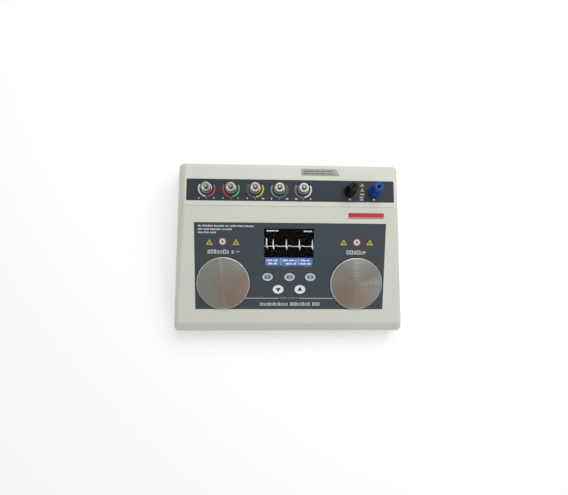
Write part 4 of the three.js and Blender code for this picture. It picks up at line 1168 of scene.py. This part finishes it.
for number, middle in enumerate(ecgMiddles, start=1):
    place = onDeck @ slid(*middle)
    piece(f"lead_post_{number}", turnedForm(postProfile, 40, 0.1, 2), "nickel", place,
          replaced=(f"ecg_post_{number}",))
    nut = discForm(ecgSpec["facets"], ecgSpec["nutRadius"], low, high, soft=0.5)
    roundEdges(nut, topRim(nut, high) + topRim(nut, low), 0.7, 3)
    node = f"ecg_nut_{number}"
    made = piece(f"thumb_nut_{number}", nut, "nickel", place, node, (node,))
    carve(made, turnedForm(boreProfile, 40), place)
    smoothUnder(made.data, 28)

print("binding posts")
bindingSpec = {
    "flange": (8.3, 4.0),       # radius and top
    "barrel": (5, -6),          # radius and lowest point
    "bore": 3.3,
    "stem": (3, -16),           # radius and lowest point
    "nut": (5.5, -8.3, -6.3),   # radius, underside and top
    "socket": (2.05, 16.5),     # radius and depth
    "crossHole": 1.1,
    "washer": (6, 1),           # radius and height
    "knob": (7.6, 5.9),         # radius at the foot and at the top
    "mouth": (2.5, 1.5),        # radius and depth
    "ribs": 14,
    "rib": (0.62, 1.2, 18.4),   # radius, lowest and highest point above the knob's foot
}
bore = bindingSpec["bore"]
flange, flangeTop = bindingSpec["flange"]
barrel, barrelLow = bindingSpec["barrel"]
stem, stemLow = bindingSpec["stem"]
nutRadius, nutLow, nutTop = bindingSpec["nut"]
socket, socketDepth = bindingSpec["socket"]
knob, top = bindingSpec["knob"]
mouth, mouthDepth = bindingSpec["mouth"]
stemTop = knobTop - 2.5
floorHeight = stemTop - socketDepth
collarProfile = [(bore, barrelLow), (barrel, barrelLow), (barrel, slip), (flange, slip), (flange, flangeTop),
                 (bore, flangeTop), (bore, barrelLow)]
stemProfile = [(0, stemLow), (stem, stemLow), (stem, nutLow), (nutRadius, nutLow), (nutRadius, nutTop),
               (stem, nutTop), (stem, stemTop), (socket, stemTop), (socket, floorHeight), (0, floorHeight)]
knobProfile = [(bore, knobLow), (knob, knobLow), (knob, knobLow + 4.2), (top + 0.4, knobLow + 9.5),
               (top, knobTop), (mouth, knobTop), (mouth, knobTop - mouthDepth),
               (bore, knobTop - mouthDepth), (bore, knobLow)]
washerRadius, washerHeight = bindingSpec["washer"]
washerLow = flangeTop + slip
crossPlace = slid(0, 0, washerLow + 1.4) @ Matrix.Rotation(math.pi / 2, 4, "X")


def fluteForm():
    form = bmesh.new()
    radius, low, high = bindingSpec["rib"]
    lean = Matrix.Rotation(math.radians(-3.2), 4, "Y")
    for rib in range(bindingSpec["ribs"]):
        spin = Matrix.Rotation(2 * math.pi * rib / bindingSpec["ribs"], 4, "Z")
        joinInto(form, rodForm(radius, low, high, 12), spin @ slid(top + radius, 0, knobLow) @ lean)
    return form


for colour, middle in bindingMiddles.items():
    place = onDeck @ slid(*middle)
    finish, slot, post = f"{colour}Plastic", f"{colour}_plastic", f"{colour}_post"
    piece(f"{colour}_binding_collar", turnedForm(collarProfile, 64, 0.4), finish, place,
          replaced=(f"{post}_collar",))
    made = piece(f"{colour}_binding_stem", turnedForm(stemProfile, 48, 0.2, 2), "brass", place,
                 replaced=(f"{post}_stem",))
    carve(made, rodForm(bindingSpec["crossHole"], -5, 5, 24), place @ crossPlace)
    washer = ringForm(bore, washerRadius, washerLow, washerLow + washerHeight, edge=0.2)
    node = f"{post}_washer"
    piece(f"{colour}_binding_washer", washer, "nickel", place, node, (node,))
    node = f"{post}_knob"
    knobForm = turnedForm(knobProfile, 96, 0.5)
    made = piece(f"{colour}_binding_knob", knobForm, finish, place, node, (node,))
    carve(made, fluteForm(), place)
    smoothUnder(made.data)

print("rear panel")
panelSpec = {
    "corner": 1.5,
    "places": {"switch": -56, "power": -18, "data": 14, "scope": 48},
    "boxHoles": {"switch": (12.6, 18.6), "data": (11.6, 10.6)},
    "roundHoles": {"power": 5.3, "scope": 4.3},
    "screws": (70, 12.5),
    # the length and the base of each line of print
    "words": {"power": (11, -12.6), "data": (8, -12.6), "scope": (10, -12.6), "switch": (10, -14.4)},
}
places = panelSpec["places"]
panelLow, panelHigh = localBox("rear_panel", onRear)


def blackPiece(name, form, place, body="console", replaced=()):
    return piece(name, form, "blackPlastic", place, body, replaced)


panelForm = slabForm(*(panelHigh - panelLow).xy, -panelThickness, 0, panelSpec["corner"])
panel = blackPiece("connector_panel", panelForm, onRear, replaced=("rear_panel",))
panelHoles = bmesh.new()
for name, (width, height) in panelSpec["boxHoles"].items():
    joinInto(panelHoles, slabForm(width, height, -4, 2, centre=(places[name], 0)))
for name, radius in panelSpec["roundHoles"].items():
    joinInto(panelHoles, rodForm(radius, -4, 2), slid(places[name], 0))
carve(panel, panelHoles, onRear)
finishEdges(panel, 0.15, segments=1)

switchSpec = {"rim": (13, 19), "bezel": 0.8, "depth": 15, "well": (10.4, 15.6), "pivot": -1.0, "tilt": 8}
bezelTop = slip + switchSpec["bezel"]
switchPlace = onRear @ slid(places["switch"], 0)
switchForm = slabForm(12, 18, slip + 0.5 - switchSpec["depth"], slip + 0.3)
switchBody = blackPiece("switch_housing", switchForm, switchPlace, replaced=("switch_body",))
bezelForm = slabForm(*switchSpec["rim"], slip, bezelTop, 0.8, 0.25)
carve(switchBody, bezelForm, switchPlace, "UNION")
carve(switchBody, slabForm(*switchSpec["well"], -7, 4, 0.3), switchPlace)
finishEdges(switchBody, 0.1, segments=1)

rockerSpec = {"halfWidth": 4.9, "reach": 7.0, "thickness": 4.5, "heel": 1.5, "edge": 0.35, "mark": 3.9}
reach, depth, heel, mark = [rockerSpec[part] for part in ("reach", "thickness", "heel", "mark")]
tilt = math.radians(switchSpec["tilt"])
rockerHigh = bezelTop - switchSpec["pivot"]
rockerEnd = rockerHigh + reach * math.tan(tilt) - 0.6
rocker = bmesh.new()
outline = [(-reach, rockerEnd), (0, rockerHigh), (reach, rockerEnd), (reach - 0.6, -depth / 2),
           (heel, -depth), (-heel, -depth), (0.6 - reach, -depth / 2)]
rocker.faces.new([rocker.verts.new((across, height, 0)) for across, height in outline])
raised(rocker, 2 * rockerSpec["halfWidth"])
# drawn flat, then stood up with its width along the panel
upright = Matrix(((0, 0, 1, -rockerSpec["halfWidth"]), (1, 0, 0, 0), (0, 1, 0, 0), (0, 0, 0, 1)))
bmesh.ops.transform(rocker, matrix=upright, verts=rocker.verts[:])
roundEdges(rocker, rocker.edges[:], rockerSpec["edge"])
rockerPlace = switchPlace @ slid(0, 0, switchSpec["pivot"]) @ Matrix.Rotation(tilt, 4, "X")
blackPiece("rocker_key", rocker, rockerPlace, "power_rocker", ("power_rocker",))
slope = math.atan2(rockerEnd - rockerHigh, reach)
markHeight = rockerHigh + mark * math.tan(slope)
rockerMarks = bmesh.new()
bar = bmesh.new()
blockInto(bar, (0.55, 2.6, 0.05), (0, 0, 0))
joinInto(rockerMarks, bar, slid(0, -mark, markHeight) @ Matrix.Rotation(-slope, 4, "X"))
ringPlace = slid(0, mark, markHeight) @ Matrix.Rotation(slope, 4, "X")
for start in (0, 180):
    joinInto(rockerMarks, arcForm(0.9, 1.4, -0.025, 0.025, start, start + 180), ringPlace)
piece("rocker_marks", rockerMarks, "inkWhite", rockerPlace, "power_rocker")

jackSpec = {
    "power": (6.5, 5, 2.9),      # radii of flange, barrel and bore
    "scope": (6, 4, 1.8),
    "rise": 1.2,
    "depths": (12, 10),          # of the barrel and the bore
    "pin": (1.0, 1.0),           # radius and depth of its tip
    "sleeve": (1.25, 1.78, 9),   # inner and outer radius and depth
}
top = slip + jackSpec["rise"]
barrelLow, boreLow = [top - depth for depth in jackSpec["depths"]]
pin, tipDepth = jackSpec["pin"]
pinTop = top - tipDepth
pinFoot, pinTip = boreLow + 0.1, pinTop + 0.05
pinProfile = [(0, pinFoot), (pin + 0.05, pinFoot), (pin + 0.05, pinTip), (0, pinTip)]
inner, outer, sleeveDepth = jackSpec["sleeve"]
for name in ("power", "scope"):
    flange, barrel, bore = jackSpec[name]
    place = onRear @ slid(places[name], 0)
    profile = [(0, barrelLow), (barrel, barrelLow), (barrel, slip), (flange, slip), (flange, top),
               (bore, top), (bore, boreLow)]
    if name == "power":
        profile += [(pin, boreLow), (pin, pinTop), (0, pinTop)]
        core, contact = "pin", turnedForm(pinProfile, 24, 0.2, 2)
    else:
        profile += [(0, boreLow)]
        core, contact = "sleeve", ringForm(inner, outer, top - sleeveDepth, top - 0.05, 32, 0.08, 1)
    blackPiece(f"{name}_socket", turnedForm(profile, 64, 0.18, 2), place, replaced=(f"{name}_jack",))
    piece(f"{name}_socket_{core}", contact, "nickel", place)
    ring = ringForm(bore + 0.9, flange - 0.9, top - 0.02, top + 0.02)
    piece(f"{name}_socket_ring", ring, "nickel", place)

# widths and heights, then how far the shell and its mouth reach in
dataSpec = {"shell": (11, 10, 14), "rim": (12, 11), "mouth": (8.6, 7.8, 12.5), "tongue": (5.6, 3.2)}
usbPlace = onRear @ slid(places["data"], 0)
width, height, depth = dataSpec["shell"]
usbForm = slabForm(width, height, -depth, slip + 0.5, 0.3)
usb = piece("data_socket", usbForm, "zincSheet", usbPlace, replaced=("usb_port",))
carve(usb, slabForm(*dataSpec["rim"], slip, slip + 1, 0.6, 0.2), usbPlace, "UNION")
width, height, depth = dataSpec["mouth"]
carve(usb, slabForm(width, height, -depth, 4, 0.4), usbPlace)
finishEdges(usb, 0.1, segments=1)
tongue = slabForm(*dataSpec["tongue"], -depth - 0.1, -2.4, 0.3, 0.2)
piece("data_socket_tongue", tongue, "nylon", usbPlace)

rearPrints = {}
for name, (length, base) in panelSpec["words"].items():
    addWords(rearPrints, "inkWhite", -places[name] - length / 2, base, length, 2.0, (3, 5))
layPrints(rearPrints, "rear_print", onRear @ Matrix.Rotation(math.pi, 4, "Z"))
headProfile = [(0, -0.3), (2.6, -0.3), (2.6, 0.35), (1.4, 0.9), (0, 1.0)]
screwX, screwY = panelSpec["screws"]
for x, side in ((-screwX, "left"), (screwX, "right")):
    for y, end in ((-screwY, "top"), (screwY, "bottom")):
        place = onRear @ slid(x, y)
        head = turnedForm(headProfile, 32, 0.15, 2)
        made = piece(f"panel_screw_{side}_{end}", head, "nickel", place)
        cutCross(made, place, 3.0, 0.6, 1.0, 1.0)

print("inside")
innerSpec = {
    "casePost": (2.1, 4.6, 1.5),   # bore, radius and the gap above it
    "keyPost": 2.4,
    "deckPost": 3,
    "deckPlaces": (-101, 50, 100),
}
inner, outer, gap = innerSpec["casePost"]
posts = bmesh.new()
for x, y in screwPlaces.values():
    fall = 0 if y > 0 else (creaseY - y + outer) * math.tan(faceTilt)
    joinInto(posts, ringForm(inner, outer, upperBase, deckHeight - fall - gap, 32), slid(x, y))
piece("case_posts", posts, "casePlastic")
boardLow, boardHigh = localBox("key_board", onFace)
boardPosts = bmesh.new()
for x in (boardLow.x + 4, boardHigh.x - 4):
    for y in (boardLow.y + 3, boardHigh.y - 3):
        joinInto(boardPosts, rodForm(innerSpec["keyPost"], boardLow.z + 1.9, -wall / 2), slid(x, y))
piece("key_board_posts", boardPosts, "casePlastic", onFace)
boardTop = localBox("terminal_board", onDeck)[1].z
deckPosts = bmesh.new()
for x in innerSpec["deckPlaces"]:
    post = rodForm(innerSpec["deckPost"], boardTop + slip, -wall / 2)
    joinInto(deckPosts, post, slid(x, ecgMiddles[0][1]))
piece("terminal_board_posts", deckPosts, "casePlastic", onDeck)

kept = {
    "display_module": "displayGlass", "key_board": "boardGreen", "terminal_board": "boardGreen",
    "main_board": "boardGreen", "load_resistor": "ceramic", "resistor_bracket_left": "zincSheet",
    "resistor_bracket_right": "zincSheet", "battery_pack": "batteryWrap", "sternum_lead": "leadRed",
    "apex_lead": "leadRed", "display_ribbon": "ribbonGrey", "sternum_bush": "nylon", "apex_bush": "nylon",
    "sternum_nut": "nickel", "apex_nut": "nickel",
}
for name, finish in kept.items():
    for holder in frame["nodes"][name].material_slots:
        holder.material = finishes[finish]
